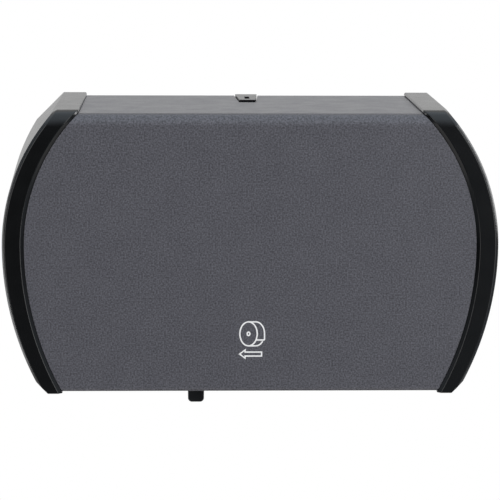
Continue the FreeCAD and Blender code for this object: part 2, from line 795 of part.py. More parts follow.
def shutter(model):
    """Sliding plate under the rolls, with lips and ribs, and the finger tab that moves it."""
    gate = model.body("roll_shutter")
    floor = model.sketch(gate, "XY", "gate_low")
    model.loop(floor, rectangle("gate_left", "-gate_front", "gate_right", "-gate_rear"))
    model.pad(gate, floor, "gate_wall")
    inner = ("-front_mouth + gate_end_gap", "-rear_mouth - gate_end_gap")
    lips = model.sketch(gate, "XY", "gate_high")
    model.loop(lips, rectangle("gate_left", inner[0], "gate_left + gate_lip_wall", inner[1]))
    model.loop(lips, rectangle("gate_right - gate_lip_wall", inner[0], "gate_right", inner[1]))
    model.pad(gate, lips, "gate_lip_height")
    drawing = model.sketch(gate, "XY", "gate_low")
    model.loop(drawing, rectangle(
        "gate_right - gate_lip_wall - gate_rib_wall", inner[0],
        "gate_right - gate_lip_wall", inner[1]))
    rib = model.pad(gate, drawing, "gate_rib_height", back=True)
    row = model.repeat(
        gate, rib, "X_Axis", "gate_rib_step * (gate_rib_count - 1)", "gate_rib_count")
    row.Reversed = True
    hole = model.sketch(gate, "XY", "gate_high")
    play = "stem_play"
    model.loop(hole, rectangle(
        f"tab_place - stem_width / 2 - {play}", f"-tab_middle - stem_depth / 2 - {play}",
        f"tab_place + stem_width / 2 + {play}", f"-tab_middle + stem_depth / 2 + {play}"))
    model.pocket(gate, hole, "gate_wall")

    tab = model.body("shutter_tab")
    grip = model.sketch(tab, "XZ", "tab_front - tab_depth")
    half_tip = "tab_tip_width / 2"
    model.loop(grip, [
        ("tab_place - tab_width / 2", "gate_low"),
        (f"tab_place - {half_tip}", "tab_bottom + tab_round", ("ccw", "tab_round")),
        (f"tab_place - {half_tip} + tab_round", "tab_bottom"),
        (f"tab_place + {half_tip} - tab_round", "tab_bottom", ("ccw", "tab_round")),
        (f"tab_place + {half_tip}", "tab_bottom + tab_round"),
        ("tab_place + tab_width / 2", "gate_low"),
    ])
    model.pad(tab, grip, "tab_depth")
    stem = model.sketch(tab, "XY", "gate_low")
    model.loop(stem, rectangle(
        "tab_place - stem_width / 2", "-tab_middle - stem_depth / 2",
        "tab_place + stem_width / 2", "-tab_middle + stem_depth / 2"))
    model.pad(tab, stem, "gate_wall")
    pilot = model.sketch(tab, "XY", "gate_high")
    model.circle(pilot, "tab_place", "-tab_middle", "tab_screw_dia / 2")
    model.pocket(tab, pilot, "tab_screw_bite")

    screw = model.body("tab_screw")
    head = model.sketch(screw, "XY", "gate_high")
    model.circle(head, "tab_place", "-tab_middle", "screw_head_dia / 2")
    model.pad(screw, head, "screw_head_height")
    shank = model.sketch(screw, "XY", "gate_high")
    model.circle(shank, "tab_place", "-tab_middle", "tab_screw_dia / 2")
    model.pad(screw, shank, "tab_screw_bite", back=True)


def spindles(model):
    """Telescopic spindles: a sleeve, a plunger and the spring between them."""
    sleeve = model.body("right_spindle_sleeve")
    bore = "(plunger_dia / 2 + plunger_play)"
    model.revolve(sleeve, [
        ("barrel_start - journal_length", "0"),
        ("barrel_start - journal_length", "journal_dia / 2 - journal_chamfer"),
        ("barrel_start - journal_length + journal_chamfer", "journal_dia / 2"),
        ("barrel_start", "journal_dia / 2"),
        ("barrel_start", "barrel_dia / 2 - barrel_chamfer"),
        ("barrel_start + barrel_chamfer", "barrel_dia / 2"),
        ("barrel_end - barrel_chamfer", "barrel_dia / 2"),
        ("barrel_end", "barrel_dia / 2 - barrel_chamfer"),
        ("barrel_end", bore),
        ("bore_end", bore),
        ("bore_end", "0"),
    ])
    model.place(sleeve, "spindle_out", "spindle_level")
    plunger = model.body("right_spindle_plunger")
    model.revolve(plunger, [
        ("plunger_tip", "0"),
        ("plunger_tip", "plunger_dia / 2"),
        ("collar_start", "plunger_dia / 2"),
        ("collar_start", "barrel_dia / 2"),
        ("plunger_shoulder - barrel_chamfer", "barrel_dia / 2"),
        ("plunger_shoulder", "barrel_dia / 2 - barrel_chamfer"),
        ("plunger_shoulder", "journal_dia / 2"),
        ("plunger_shoulder + journal_length - journal_chamfer", "journal_dia / 2"),
        ("plunger_shoulder + journal_length", "journal_dia / 2 - journal_chamfer"),
        ("plunger_shoulder + journal_length", "0"),
    ])
    model.place(plunger, "spindle_out", "spindle_level")
    spring = coil(
        model, "right_spindle_spring", "roll_spring_length", "roll_spring_dia",
        "roll_spring_wire", "roll_spring_turns")
    spring.Placement = Placement(
        Vector(model.value("bore_end"), -model.value("spindle_out"), model.value("spindle_level")),
        Rotation(Vector(0, 1, 0), 90))
    for name in ("sleeve", "plunger", "spring"):
        source = next(p for p in model.pieces if p.Label == f"right_spindle_{name}")
        model.mirrored(source, f"left_spindle_{name}")


def arc_to(start, control, end):
    """Arc that leaves the start towards the control point and reaches the end tangent to it."""
    middle = (start + end) * 0.5
    lean = (middle - start).Length / (control - start).Length
    return Part.Arc(start, middle + (control - middle) * (lean / (1 + lean)), end).toShape()


def biarc(start, leave, end, arrive):
    """Two tangent arcs between two points with unit directions at both."""
    span = end - start
    total = leave + arrive
    square = total.dot(total) - 4
    slope = span.dot(total)
    reach = (slope - math.sqrt(slope ** 2 - square * span.dot(span))) / square
    first = start + leave * reach
    second = end - arrive * reach
    joint = (first + second) * 0.5
    return [arc_to(start, first, joint), arc_to(joint, second, end)]


def coil(model, label, length, diameter, wire, turns):
    """Compression spring: one wire that rises along +Z and meets both seats squarely."""
    total = model.value(length)
    radius = model.value(diameter) / 2
    thick = model.value(wire)
    count = int(round(model.value(turns)))
    lead = model.value("spring_lead") * thick
    climb = total - 2 * (thick + lead)
    steps = 4 * count
    slope = climb / (2 * math.pi * count * radius)

    def on_coil(index):
        angle = index * math.pi / 2
        spot = Vector(math.cos(angle), math.sin(angle), 0) * radius
        spot.z = thick + lead + climb * index / steps
        along = Vector(-math.sin(angle), math.cos(angle), slope).normalize()
        return spot, along

    sweep = lead / radius
    up = Vector(0, 0, 1)
    foot = Vector(math.cos(-sweep), math.sin(-sweep), 0) * radius
    tip = Vector(math.cos(sweep), math.sin(sweep), 0) * radius + up * total
    edges = [Part.LineSegment(foot, foot + up * thick).toShape()]
    edges += biarc(foot + up * thick, up, *on_coil(0))
    for index in range(steps):
        edges += biarc(*on_coil(index), *on_coil(index + 1))
    edges += biarc(*on_coil(steps), tip - up * thick, up)
    edges.append(Part.LineSegment(tip - up * thick, tip).toShape())
    profile = Part.Wire([Part.Circle(foot, up, thick / 2).toShape()])
    spring = model.doc.addObject("Part::Feature", label)
    spring.Shape = Part.Wire(edges).makePipeShell([profile], True, False)
    print(f"{label}: least gap to itself {least_gap(edges, thick, radius):.2f} mm")
    return model.keep(spring, label)


def least_gap(edges, thick, radius):
    """Least clear distance between turns, from points along the wire's centre line."""
    points = [spot for edge in edges for spot in edge.discretize(9)[:-1]]
    gaps = []
    for index, spot in enumerate(points):
        travelled = 0.0
        for before, after in zip(points[index:], points[index + 1:]):
            travelled += (after - before).Length
            if travelled > math.pi * radius:
                gaps.append((after - spot).Length - thick)
    return min(gaps)


def hinge_pins(model):
    """Headed pins pressed into the plate's ears, on which the end caps turn."""
    pin = model.body("right_hinge_pin")
    model.revolve(pin, [
        ("ear_inner - pin_head_height", "0"),
        ("ear_inner - pin_head_height", "pin_head_dia / 2"),
        ("ear_inner", "pin_head_dia / 2"),
        ("ear_inner", "pin_dia / 2"),
        ("knuckle_start + pin_reach", "pin_dia / 2"),
        ("knuckle_start + pin_reach", "0"),
    ])
    model.place(pin, "hinge_out", "hinge_level")
    model.mirrored(pin, "left_hinge_pin")


def front_panel(model):
    """Front and top of the cover in one bent wall, with a lower lip and the latch strike."""
    panel = model.body("front_panel")
    side = model.sketch(panel, "YZ")
    model.loop(side, [
        ("-rear_gap", "cover_top"),
        ("-cover_depth + edge_round", "cover_top", ("ccw", "edge_round")),
        ("-cover_depth", "cover_top - edge_round"),
        ("-cover_depth", "cover_bottom + lip_round", ("ccw", "lip_round")),
        ("-cover_depth + lip_round", "cover_bottom"),
        ("-cover_depth + panel_wall + lip_depth", "cover_bottom"),
        ("-cover_depth + panel_wall + lip_depth", "cover_bottom + panel_wall"),
        ("-cover_depth + panel_wall", "cover_bottom + panel_wall"),
        ("-cover_depth + panel_wall", "cover_top - edge_round",
         ("cw", "edge_round - panel_wall")),
        ("-cover_depth + edge_round", "cover_under"),
        ("-rear_gap", "cover_under"),
    ])
    model.pad(panel, side, "2 * half_width", both=True)
    ends = model.sketch(panel, "XZ")
    for way in ("", "-"):
        model.loop(ends, side_arcs("cap_bottom", "cap_top", "cap_inset", way) + [
            (f"{way}(half_width + cap_proud)", "cap_bottom"),
            (f"{way}(half_width + cap_proud)", "cap_top"),
        ])
    model.pocket(panel, ends, back=True)
    cut = model.sketch(panel, "XY", "cover_top")
    wide = "(button_rear_width / 2 + button_side_gap)"
    narrow = "(button_front_width / 2 + button_side_gap)"
    model.loop(cut, [
        (f"-{wide}", "0"),
        (f"-{wide}", "-button_start_out"),
        (f"-{narrow}", "-button_end"),
        (f"-{narrow}", "-strike_rear"),
        (narrow, "-strike_rear"),
        (narrow, "-button_end"),
        (wide, "-button_start_out"),
        (wide, "0"),
    ])
    model.pocket(panel, cut, "panel_wall")
    strike = model.sketch(panel, "XY", "cover_under")
    half_strike = "strike_width / 2"
    model.loop(strike, rectangle(
        "-" + half_strike, "-strike_front", half_strike, "-strike_rear"))
    model.pad(panel, strike, "strike_height", back=True)


def cap_section(shrink, low, front, top, bend):
    """Side view of an end cap's block, open to the wall and down where it is shrunk."""
    return [
        (f"-({shrink})", top),
        (f"-({front}) + {bend}", top, ("ccw", bend)),
        (f"-({front})", f"{top} - {bend}"),
        (f"-({front})", low),
        (f"-({shrink})", low),
    ]


def rim_edges(model, block, inset, flare):
    """Numbers of the edges where a block's curved side meets its front, bend and top."""
    front = -model.value("cap_front")
    top = model.value("cap_top")
    bend = model.value("edge_round + cap_proud")
    found = []
    for number, edge in enumerate(block.Shape.Edges, start=1):
        middle = edge.valueAt((edge.FirstParameter + edge.LastParameter) / 2)
        half = "upper" if middle.z > model.value("widest_level") else "lower"
        side = model.value(edge_at(half, f"({middle.z})", inset))
        side += model.value(flare) * (middle.y - front) / -front
        if abs(middle.x - side) > 1e-3:
            continue
        corner = Vector(0, middle.y - front - bend, middle.z - top + bend)
        on_bend = abs(corner.Length - bend) < 1e-3
        if abs(middle.y - front) < 1e-3 or abs(middle.z - top) < 1e-3 or on_bend:
            found.append(number)
    return found


def chamfered(model, block, inset, flare, size):
    """Bevels the rim of a block along one of its curved sides."""
    width = model.value(size)
    bevel = model.doc.addObject("Part::Chamfer", "bevel")
    bevel.Base = block
    bevel.Edges = [(number, width, width) for number in rim_edges(model, block, inset, flare)]
    model.doc.recompute()
    return bevel


def end_caps(model):
    """Hollow end caps: bevelled band, flared side with a cut corner, lap behind the panel, knuckle."""
    far = "(cap_top + cap_wall)"
    reach = "(half_width + cap_front)"
    deep = "(lap_inset + 2 * cap_wall + cap_flare)"
    lean = Vector(model.value("cap_flare"), model.value("cap_front"), 0)

    def block(section, outer, inner):
        solid = model.prism("YZ", section, "0", reach)
        flared = model.prism("XZ", band(f"-{far}", far, outer, deep), "cap_front", reach, lean)
        strip = band(f"-{far}", far, f"-{deep}", inner)
        straight = model.prism("XZ", strip, f"-{reach}", f"3 * {reach}")
        return model.joined("Common", model.joined("Common", solid, flared), straight)

    def faceted(solid, depth):
        past = f"({edge_at('upper', 'cap_top', '0')} + corner_flare + cap_top - sqrt(2) * {depth})"
        wedge = model.prism("XZ", [
            (f"{past} - {far}", far),
            (f"{past} + {far}", f"-{far}"),
            (f"{past} + {far}", far),
        ], f"-{reach}", f"3 * {reach}")
        return model.joined("Cut", solid, wedge)

    outer_bend = "(edge_round + cap_proud)"
    skin = cap_section("rear_gap", "cap_bottom", "cap_front", "cap_top", outer_bend)
    skin[-1:] = [
        ("-rear_gap - cap_corner", "cap_bottom", ("ccw", "cap_corner")),
        ("-rear_gap", "cap_bottom + cap_corner"),
    ]
    shell = block(skin, "0", "cap_inset")
    shell = chamfered(model, shell, "0", "cap_flare", "cap_chamfer")
    shell = chamfered(model, shell, "cap_inset", "0", "cap_proud")
    shell = faceted(shell, "0")
    lap_bend = "(edge_round - panel_wall)"
    lap = block(
        cap_section("rear_gap", "cover_bottom + panel_wall", "lap_front", "cover_under", lap_bend),
        "cap_inset - cap_wall", "lap_inset")
    shell = model.joined("Fuse", shell, lap)
    low = "(cap_bottom - cap_wall)"
    hollow = block(
        cap_section("-cap_wall", low, "cap_front - cap_wall", "cap_top - cap_wall",
                    "(edge_round + cap_proud - cap_wall)"),
        "cap_wall", "cap_inset - cap_wall")
    shell = model.joined("Cut", shell, faceted(hollow, "cap_wall"))
    room = block(
        cap_section("-cap_wall", low, "lap_front - cap_wall", "cover_under - cap_wall",
                    "(edge_round - panel_wall - cap_wall)"),
        "cap_wall", "lap_inset + cap_wall")
    shell = model.joined("Cut", shell, faceted(room, "cap_wall"))
    boss = model.rod("knuckle_start", "half_width", "knuckle_radius", "hinge_out", "hinge_level")
    inside = model.prism(
        "XZ", band(f"-{far}", far, "cap_wall / 2", deep), "cap_front", reach, lean)
    shell = model.joined("Fuse", shell, model.joined("Common", boss, inside))
    foot = edge_at("lower", "cap_bottom", "0")
    trim = model.prism("XZ", [
        (f"{foot} - cap_foot", "cap_bottom"),
        (f"{foot} + 2 * cap_foot", "cap_bottom"),
        (f"{foot} + 2 * cap_foot", "cap_bottom + 3 * cap_foot"),
    ], "cap_front", reach, lean)
    shell = model.joined("Cut", shell, trim)
    bore = model.rod(
        "knuckle_start", "pin_reach + knuckle_gap", "pin_dia / 2 + pin_play",
        "hinge_out", "hinge_level")
    cap = model.keep(model.joined("Cut", shell, bore), "right_end_cap")
    model.mirrored(cap, "left_end_cap")


def latch(model):
    """Bracket on the back plate, sprung tongue with its key slot, and pivot pin."""
    bracket = model.body("latch_bracket")
    half_base = "latch_base_width / 2"
    base = model.sketch(bracket, "XZ", "seat_out")
    model.loop(base, rectangle("-" + half_base, "latch_base_low", half_base, "plate_top"))
    model.pad(bracket, base, "flange_wall")
    for way in ("", "-"):
        ear = model.sketch(bracket, "YZ", f"{way}latch_ear_start")
        model.tapered(
            ear, "-flange_out", "plate_top - latch_ear_root", "plate_top",
            "-latch_out", "latch_level", "latch_hub_radius")
        model.pad(bracket, ear, "latch_ear_wall", back=way == "-")
    shelf = model.sketch(bracket, "XY", "latch_base_low")
    model.loop(shelf, rectangle(
        "-shelf_width / 2", "-shelf_end_out", "shelf_width / 2", "-flange_out"))
    model.pad(bracket, shelf, "shelf_wall")
    bores = model.sketch(bracket, "YZ")
    model.circle(bores, "-latch_out", "latch_level", "latch_pin_dia / 2")
    model.pocket(bracket, bores, both=True)
    flange_holes(model, bracket, latch_screw_spots())
    chassis_screws(model, "latch_screws", latch_screw_spots())

    pin = model.body("latch_pin")
    shank = model.sketch(pin, "YZ")
    model.circle(shank, "-latch_out", "latch_level", "latch_pin_dia / 2")
    model.pad(pin, shank, "2 * latch_ear_end", both=True)

    tongue = model.body("latch_tongue")
    hub = model.sketch(tongue, "YZ")
    model.circle(hub, "-latch_out", "latch_level", "latch_hub_radius")
    model.pad(tongue, hub, "latch_hub_width", both=True)
    arm = model.sketch(tongue, "YZ")
    model.loop(arm, [
        ("-latch_out", "latch_arm_under"),
        ("-latch_out", "button_under"),
        ("-button_end", "button_under"),
        ("-button_end", "nose_top"),
        ("-barb_rear", "nose_top"),
        ("-barb_rear", "barb_top"),
        ("-barb_front + nose_ramp", "barb_top"),
        ("-barb_front", "nose_top"),
        ("-barb_front", "latch_arm_under"),
    ])
    model.pad(tongue, arm, "latch_arm_width", both=True)
    button = model.sketch(tongue, "XY", "button_under")
    model.loop(button, [
        ("-button_rear_width / 2", "-button_start_out"),
        ("-button_front_width / 2", "-button_end"),
        ("button_front_width / 2", "-button_end"),
        ("button_rear_width / 2", "-button_start_out"),
    ])
    model.pad(tongue, button, "button_top - button_under")
    slot = model.sketch(tongue, "XY", "button_top")
    model.loop(slot, rectangle(
        "-key_slot_width / 2", "-button_start_out - key_slot_start - key_slot_length",
        "key_slot_width / 2", "-button_start_out - key_slot_start"))
    model.pocket(tongue, slot, "key_slot_depth")
    bore = model.sketch(tongue, "YZ")
    model.circle(bore, "-latch_out", "latch_level", "latch_pin_dia / 2 + latch_pin_play")
    model.pocket(tongue, bore, both=True)
    spring = coil(
        model, "latch_spring", "latch_spring_length", "latch_spring_dia",
        "latch_spring_wire", "latch_spring_turns")
    spring.Placement = Placement(
        Vector(0, -model.value("latch_spring_out"), model.value("shelf_top")), Rotation())


def main():
    """Builds every piece and writes the files."""
    model = Modeller()
    back_plate(model)
    hinge_pins(model)
    roll_arms(model)
    rails(model)
    shutter(model)
    spindles(model)
    latch(model)
    front_panel(model)
    end_caps(model)
    model.finish("parts")


main()
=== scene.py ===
"""Looks of a wall-mounted bath tissue dispenser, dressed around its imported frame."""

import json
import logging
import math
from collections.abc import Callable, Mapping, Sequence
from dataclasses import dataclass, field
from enum import Enum

import bmesh
import bpy
from mathutils import Matrix, Vector


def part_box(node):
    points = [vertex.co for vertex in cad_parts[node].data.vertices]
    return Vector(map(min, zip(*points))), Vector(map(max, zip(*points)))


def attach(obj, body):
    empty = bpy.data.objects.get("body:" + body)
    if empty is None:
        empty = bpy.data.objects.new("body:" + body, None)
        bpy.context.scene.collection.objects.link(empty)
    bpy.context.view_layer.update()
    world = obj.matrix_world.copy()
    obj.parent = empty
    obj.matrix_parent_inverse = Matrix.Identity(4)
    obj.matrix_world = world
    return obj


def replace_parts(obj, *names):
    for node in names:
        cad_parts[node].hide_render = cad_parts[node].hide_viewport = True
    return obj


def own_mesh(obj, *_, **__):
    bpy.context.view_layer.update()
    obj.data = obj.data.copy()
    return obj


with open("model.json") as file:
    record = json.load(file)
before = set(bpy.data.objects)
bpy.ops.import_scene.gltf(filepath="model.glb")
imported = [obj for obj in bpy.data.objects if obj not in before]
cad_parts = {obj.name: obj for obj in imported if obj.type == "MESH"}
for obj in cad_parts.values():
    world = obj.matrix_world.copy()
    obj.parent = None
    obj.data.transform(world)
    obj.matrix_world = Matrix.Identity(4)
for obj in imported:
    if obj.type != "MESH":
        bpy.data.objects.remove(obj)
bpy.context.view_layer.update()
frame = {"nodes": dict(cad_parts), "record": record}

log = logging.getLogger("dispenser")

Rgb = tuple[float, float, float]
Spot = tuple[float, float, float]
Flat = tuple[float, float]

MM = 0.001
FULL_TURN = 2 * math.pi
QUARTER = 0.25
MIDDLE = 0.5
WHITE: Rgb = (1.0, 1.0, 1.0)
WELD_DISTANCE = 0.002 * MM
BEVEL_SAMPLES = 6
EDGE_RISE: Flat = (0.01, 0.25)


class Slot(Enum):
    """Material slots of the record."""

    SMOKE = "smoke_plastic"
    CAP = "cap_plastic"
    BLACK = "black_plastic"
    CHASSIS = "chassis_plastic"
    SHUTTER = "shutter_plastic"
    SPINDLE = "spindle_plastic"
    STEEL = "steel"


class Body(Enum):
    """Bodies that the pieces ride on."""

    CHASSIS = "chassis"
    COVER = "cover"
    LATCH = "latch"
    SHUTTER = "shutter"
    LEFT_SPINDLE = "left_spindle"
    RIGHT_SPINDLE = "right_spindle"


class Facing(Enum):
    """Ways that a screw's head looks."""

    FRONT = (0.0, -1.0, 0.0)
    LEFT = (-1.0, 0.0, 0.0)
    RIGHT = (1.0, 0.0, 0.0)
    UP = (0.0, 0.0, 1.0)


class Socket:
    """Output of a shader node that takes part in plain arithmetic."""

    def __init__(self, bench: "Bench", link: bpy.types.NodeSocket) -> None:
        """Keeps the bench that the node stands on and the output itself."""
        self.bench = bench
        self.link = link

    def maths(self, operation: str, *terms: "Socket | float") -> "Socket":
        """Adds one Math node.

        Args:
            operation: Name of the Math node's operation.
            terms: Values or links of its inputs, in order.

        Returns:
            The node's result.
        """
        return self.bench.node("ShaderNodeMath", {"operation": operation}, dict(enumerate(terms)))

    def __add__(self, other: "Socket | float") -> "Socket":
        """Sum."""
        return self.maths("ADD", self, other)

    def __radd__(self, other: float) -> "Socket":
        """Sum with a number on the left."""
        return self.maths("ADD", other, self)

    def __sub__(self, other: "Socket | float") -> "Socket":
        """Difference."""
        return self.maths("SUBTRACT", self, other)

    def __rsub__(self, other: float) -> "Socket":
        """Difference from a number."""
        return self.maths("SUBTRACT", other, self)

    def __mul__(self, other: "Socket | float") -> "Socket":
        """Product."""
        return self.maths("MULTIPLY", self, other)

    def __rmul__(self, other: float) -> "Socket":
        """Product with a number on the left."""
        return self.maths("MULTIPLY", other, self)

    def between(self, low: float, high: float) -> "Socket":
        """Smooth step from 0 at the low value to 1 at the high one."""
        return self.bench.node(
            "ShaderNodeMapRange", {"interpolation_type": "SMOOTHSTEP"},
            {"Value": self, "From Min": low, "From Max": high})

    def at_most(self, limit: float) -> "Socket":
        """Lesser of the value and a limit."""
        return self.maths("MINIMUM", self, limit)


Term = Socket | float | Sequence[float]


class Bench:
    """Node tree of one material or world, to which nodes are added one call at a time."""

    def __init__(self, tree: bpy.types.NodeTree) -> None:
        """Empties the tree."""
        self.tree = tree
        self.tree.nodes.clear()

    def node(
        self,
        kind: str,
        settings: Mapping[str, object] | None = None,
        sockets: Mapping[int | str, Term] | None = None,
        output: int | str = 0,
    ) -> Socket:
        """Adds one node.

        Args:
            kind: Type name of the node.
            settings: Properties, set before the sockets.
            sockets: Values or links of the inputs, by place or name.
            output: Place or name of the output that is wanted.

        Returns:
            That output.
        """
        made = self.tree.nodes.new(kind)
        for name, choice in (settings or {}).items():
            setattr(made, name, choice)
        for place, term in (sockets or {}).items():
            self.feed(made.inputs[place], term)
        return Socket(self, made.outputs[output])

    def feed(self, target: bpy.types.NodeSocket, term: Term) -> None:
        """Links or sets one input; a plain colour gets its fourth number.

        Args:
            target: The input.
            term: Link, number or row of numbers.
        """
        if isinstance(term, Socket):
            self.tree.links.new(term.link, target)
        elif target.type == "RGBA":
            target.default_value = (*term, 1.0)
        else:
            target.default_value = term

    def close(self, kind: str, shader: Socket) -> None:
        """Links a shader to a new output node of the tree."""
        ending = self.tree.nodes.new(kind)
        self.tree.links.new(shader.link, ending.inputs["Surface"])

    def place(self) -> Socket:
        """Position on the piece, in metres."""
        return self.node("ShaderNodeTexCoord", output="Object")

    def noise(self, size: float, detail: float = 2.0, stretch: Spot = WHITE) -> Socket:
        """Cloudy value about 0.5.

        Args:
            size: Size of the largest clouds, in metres.
            detail: Octaves of finer noise.
            stretch: Factors along the three axes, where a small one draws the clouds out.

        Returns:
            The value.
        """
        spot = self.node(
            "ShaderNodeVectorMath", {"operation": "MULTIPLY"}, {0: self.place(), 1: stretch})
        return self.node(
            "ShaderNodeTexNoise", sockets={"Vector": spot, "Scale": 1 / size, "Detail": detail})

    def cells(self, size: float) -> Socket:
        """Grey value that is steady within each crystal-like cell of a size in metres."""
        shades = self.node(
            "ShaderNodeTexVoronoi", sockets={"Vector": self.place(), "Scale": 1 / size},
            output="Color")
        return self.node("ShaderNodeSeparateColor", sockets={0: shades})

    def blend(self, factor: Term, first: Term, second: Term) -> Socket:
        """Colour between two colours."""
        return self.node(
            "ShaderNodeMix", {"data_type": "RGBA"}, {0: factor, 6: first, 7: second}, output=2)

    def rounded_normal(self, radius: float) -> Socket:
        """Normal that turns smoothly over every edge within a radius."""
        return self.node("ShaderNodeBevel", {"samples": BEVEL_SAMPLES}, {"Radius": radius})

    def edge_mask(self, radius: float) -> Socket:
        """Value that rises to 1 on edges and is 0 on flats.

        Args:
            radius: Reach of the mask from each edge, in metres.

        Returns:
            The mask.
        """
        faced = self.node("ShaderNodeNewGeometry", output="Normal")
        likeness = self.node(
            "ShaderNodeVectorMath", {"operation": "DOT_PRODUCT"},
            {0: self.rounded_normal(radius), 1: faced}, output="Value")
        return (1 - likeness).between(*EDGE_RISE)

    def bump(self, height: Socket, depth: float, normal: Socket) -> Socket:
        """Normal with a relief of a depth in metres on top of another normal."""
        return self.node(
            "ShaderNodeBump", sockets={"Distance": depth, "Height": height, "Normal": normal})


def scaled(tone: Rgb, factor: float) -> Rgb:
    """Colour made lighter or darker by one factor."""
    return tuple(min(part * factor, 1.0) for part in tone)


def new_bench(name: str) -> tuple[bpy.types.Material, Bench]:
    """Makes a material.

    Args:
        name: Name of the material.

    Returns:
        The material and the empty bench of its nodes.
    """
    material = bpy.data.materials.new(name)
    material.use_nodes = True
    return material, Bench(material.node_tree)


@dataclass(frozen=True)
class MouldedPlastic:
    """Injection moulded plastic with a spark-eroded grain, soft mottling and edges lightened in
    colour, as rubbed wear where weak and as a painted highlight where strong.
    """

    name: str
    tone: Rgb
    roughness: float
    grain_size: float
    grain_depth: float
    specular: float = 0.5
    mottle: float = 0.06
    mottle_size: float = 14 * MM
    fleck: float = 0.05
    fleck_size: float = 0.9 * MM
    spread: float = 0.25
    unevenness: float = 0.08
    wear_and_highlight: float = 0.12
    wear_and_highlight_gain: float = 2.2
    edge_radius: float = 0.35 * MM
    shade_gain: float = 8.0
    patch_gain: float = 2.0
    wave_size_gain: float = 2.0
    wave_depth_gain: float = 4.0

    def material(self) -> bpy.types.Material:
        """Builds the finish.

        Returns:
            The material.
        """
        material, bench = new_bench(self.name)
        mottle = bench.noise(self.mottle_size, detail=4.0) - MIDDLE
        fleck = bench.noise(self.fleck_size, detail=1.0) - MIDDLE
        edges = bench.edge_mask(2 * self.edge_radius)
        shade = (
            MIDDLE + mottle * self.mottle * self.shade_gain + fleck * self.fleck * self.shade_gain)
        tone = bench.blend(
            shade, scaled(self.tone, 1 - self.spread), scaled(self.tone, 1 + self.spread))
        # Edges lightened in the base colour: rubbed wear where the gain is small, a painted
        # highlight standing in for gloss on rounded edges where it is large, as on the black end
        # caps.
        tone = bench.blend(edges * self.wear_and_highlight, tone, scaled(self.tone, self.wear_and_highlight_gain))
        patches = mottle * self.unevenness * self.patch_gain
        roughness = self.roughness + patches - edges * self.unevenness
        grain = bench.noise(self.grain_size)
        waves = bench.noise(self.mottle_size * self.wave_size_gain, detail=0.0)
        normal = bench.bump(grain, self.grain_depth, bench.rounded_normal(self.edge_radius))
        normal = bench.bump(waves, self.grain_depth * self.wave_depth_gain, normal)
        shader = bench.node("ShaderNodeBsdfPrincipled", sockets={
            "Base Color": tone, "Roughness": roughness, "Normal": normal,
            "Specular IOR Level": self.specular})
        bench.close("ShaderNodeOutputMaterial", shader)
        return material


@dataclass(frozen=True)
class PlatedSteel:
    """Zinc plated steel: small crystals, drawn scratches and brighter edges."""

    name: str
    tone: Rgb
    roughness: float
    crystal_size: float = 0.7 * MM
    crystal_shade: float = 0.35
    crystal_matt: float = 0.12
    scratch_size: float = 0.25 * MM
    scratch_draw: Spot = (0.08, 1.0, 1.0)
    scratch_shade: float = 0.5
    scratch_matt: float = 0.2
    scratch_depth: float = 0.01 * MM
    stain_size: float = 6 * MM
    stain_reach: Flat = (0.55, 0.8)
    stain_share: float = 0.3
    stain_tone: Rgb = (0.42, 0.40, 0.36)
    dark: float = 0.8
    light: float = 1.15
    edge_radius: float = 0.12 * MM
    edge_share: float = 0.5
    edge_gain: float = 1.3
    edge_polish: float = 0.08

    def material(self) -> bpy.types.Material:
        """Builds the finish.

        Returns:
            The material.
        """
        material, bench = new_bench(self.name)
        crystals = bench.cells(self.crystal_size) - MIDDLE
        scratches = bench.noise(self.scratch_size, 3.0, self.scratch_draw) - MIDDLE
        stains = bench.noise(self.stain_size, detail=3.0).between(*self.stain_reach)
        edges = bench.edge_mask(2 * self.edge_radius)
        shade = MIDDLE + crystals * self.crystal_shade + scratches * self.scratch_shade
        tone = bench.blend(shade, scaled(self.tone, self.dark), scaled(self.tone, self.light))
        tone = bench.blend(stains * self.stain_share, tone, self.stain_tone)
        tone = bench.blend(edges * self.edge_share, tone, scaled(self.tone, self.edge_gain))
        roughness = self.roughness + crystals * self.crystal_matt + scratches * self.scratch_matt
        roughness = roughness - edges * self.edge_polish
        normal = bench.bump(
            scratches, self.scratch_depth, bench.rounded_normal(self.edge_radius))
        shader = bench.node("ShaderNodeBsdfPrincipled", sockets={
            "Base Color": tone, "Roughness": roughness, "Normal": normal, "Metallic": 1.0})
        bench.close("ShaderNodeOutputMaterial", shader)
        return material


@dataclass(frozen=True)
class PrintInk:
    """Screen printed ink: almost even, with thin spots and a slightly rough edge."""

    name: str
    tone: Rgb
    thin_tone: Rgb
    roughness: float = 0.5
    unevenness: float = 0.2
    screen_size: float = 0.35 * MM
    screen_reach: Flat = (0.58, 0.75)
    screen_share: float = 0.5
    screen_depth: float = 0.01 * MM
    cloud_size: float = 4 * MM
    cloud_reach: Flat = (0.55, 0.8)
    cloud_share: float = 0.3
    edge_radius: float = 0.05 * MM

    def material(self) -> bpy.types.Material:
        """Builds the finish.

        Returns:
            The material.
        """
        material, bench = new_bench(self.name)
        screen = bench.noise(self.screen_size)
        clouds = bench.noise(self.cloud_size, detail=3.0).between(*self.cloud_reach)
        thin = screen.between(*self.screen_reach) * self.screen_share + clouds * self.cloud_share
        tone = bench.blend(thin, self.tone, self.thin_tone)
        roughness = self.roughness + (screen - MIDDLE) * self.unevenness
        normal = bench.bump(screen, self.screen_depth, bench.rounded_normal(self.edge_radius))
        shader = bench.node("ShaderNodeBsdfPrincipled", sockets={
            "Base Color": tone, "Roughness": roughness, "Normal": normal})
        bench.close("ShaderNodeOutputMaterial", shader)
        return material


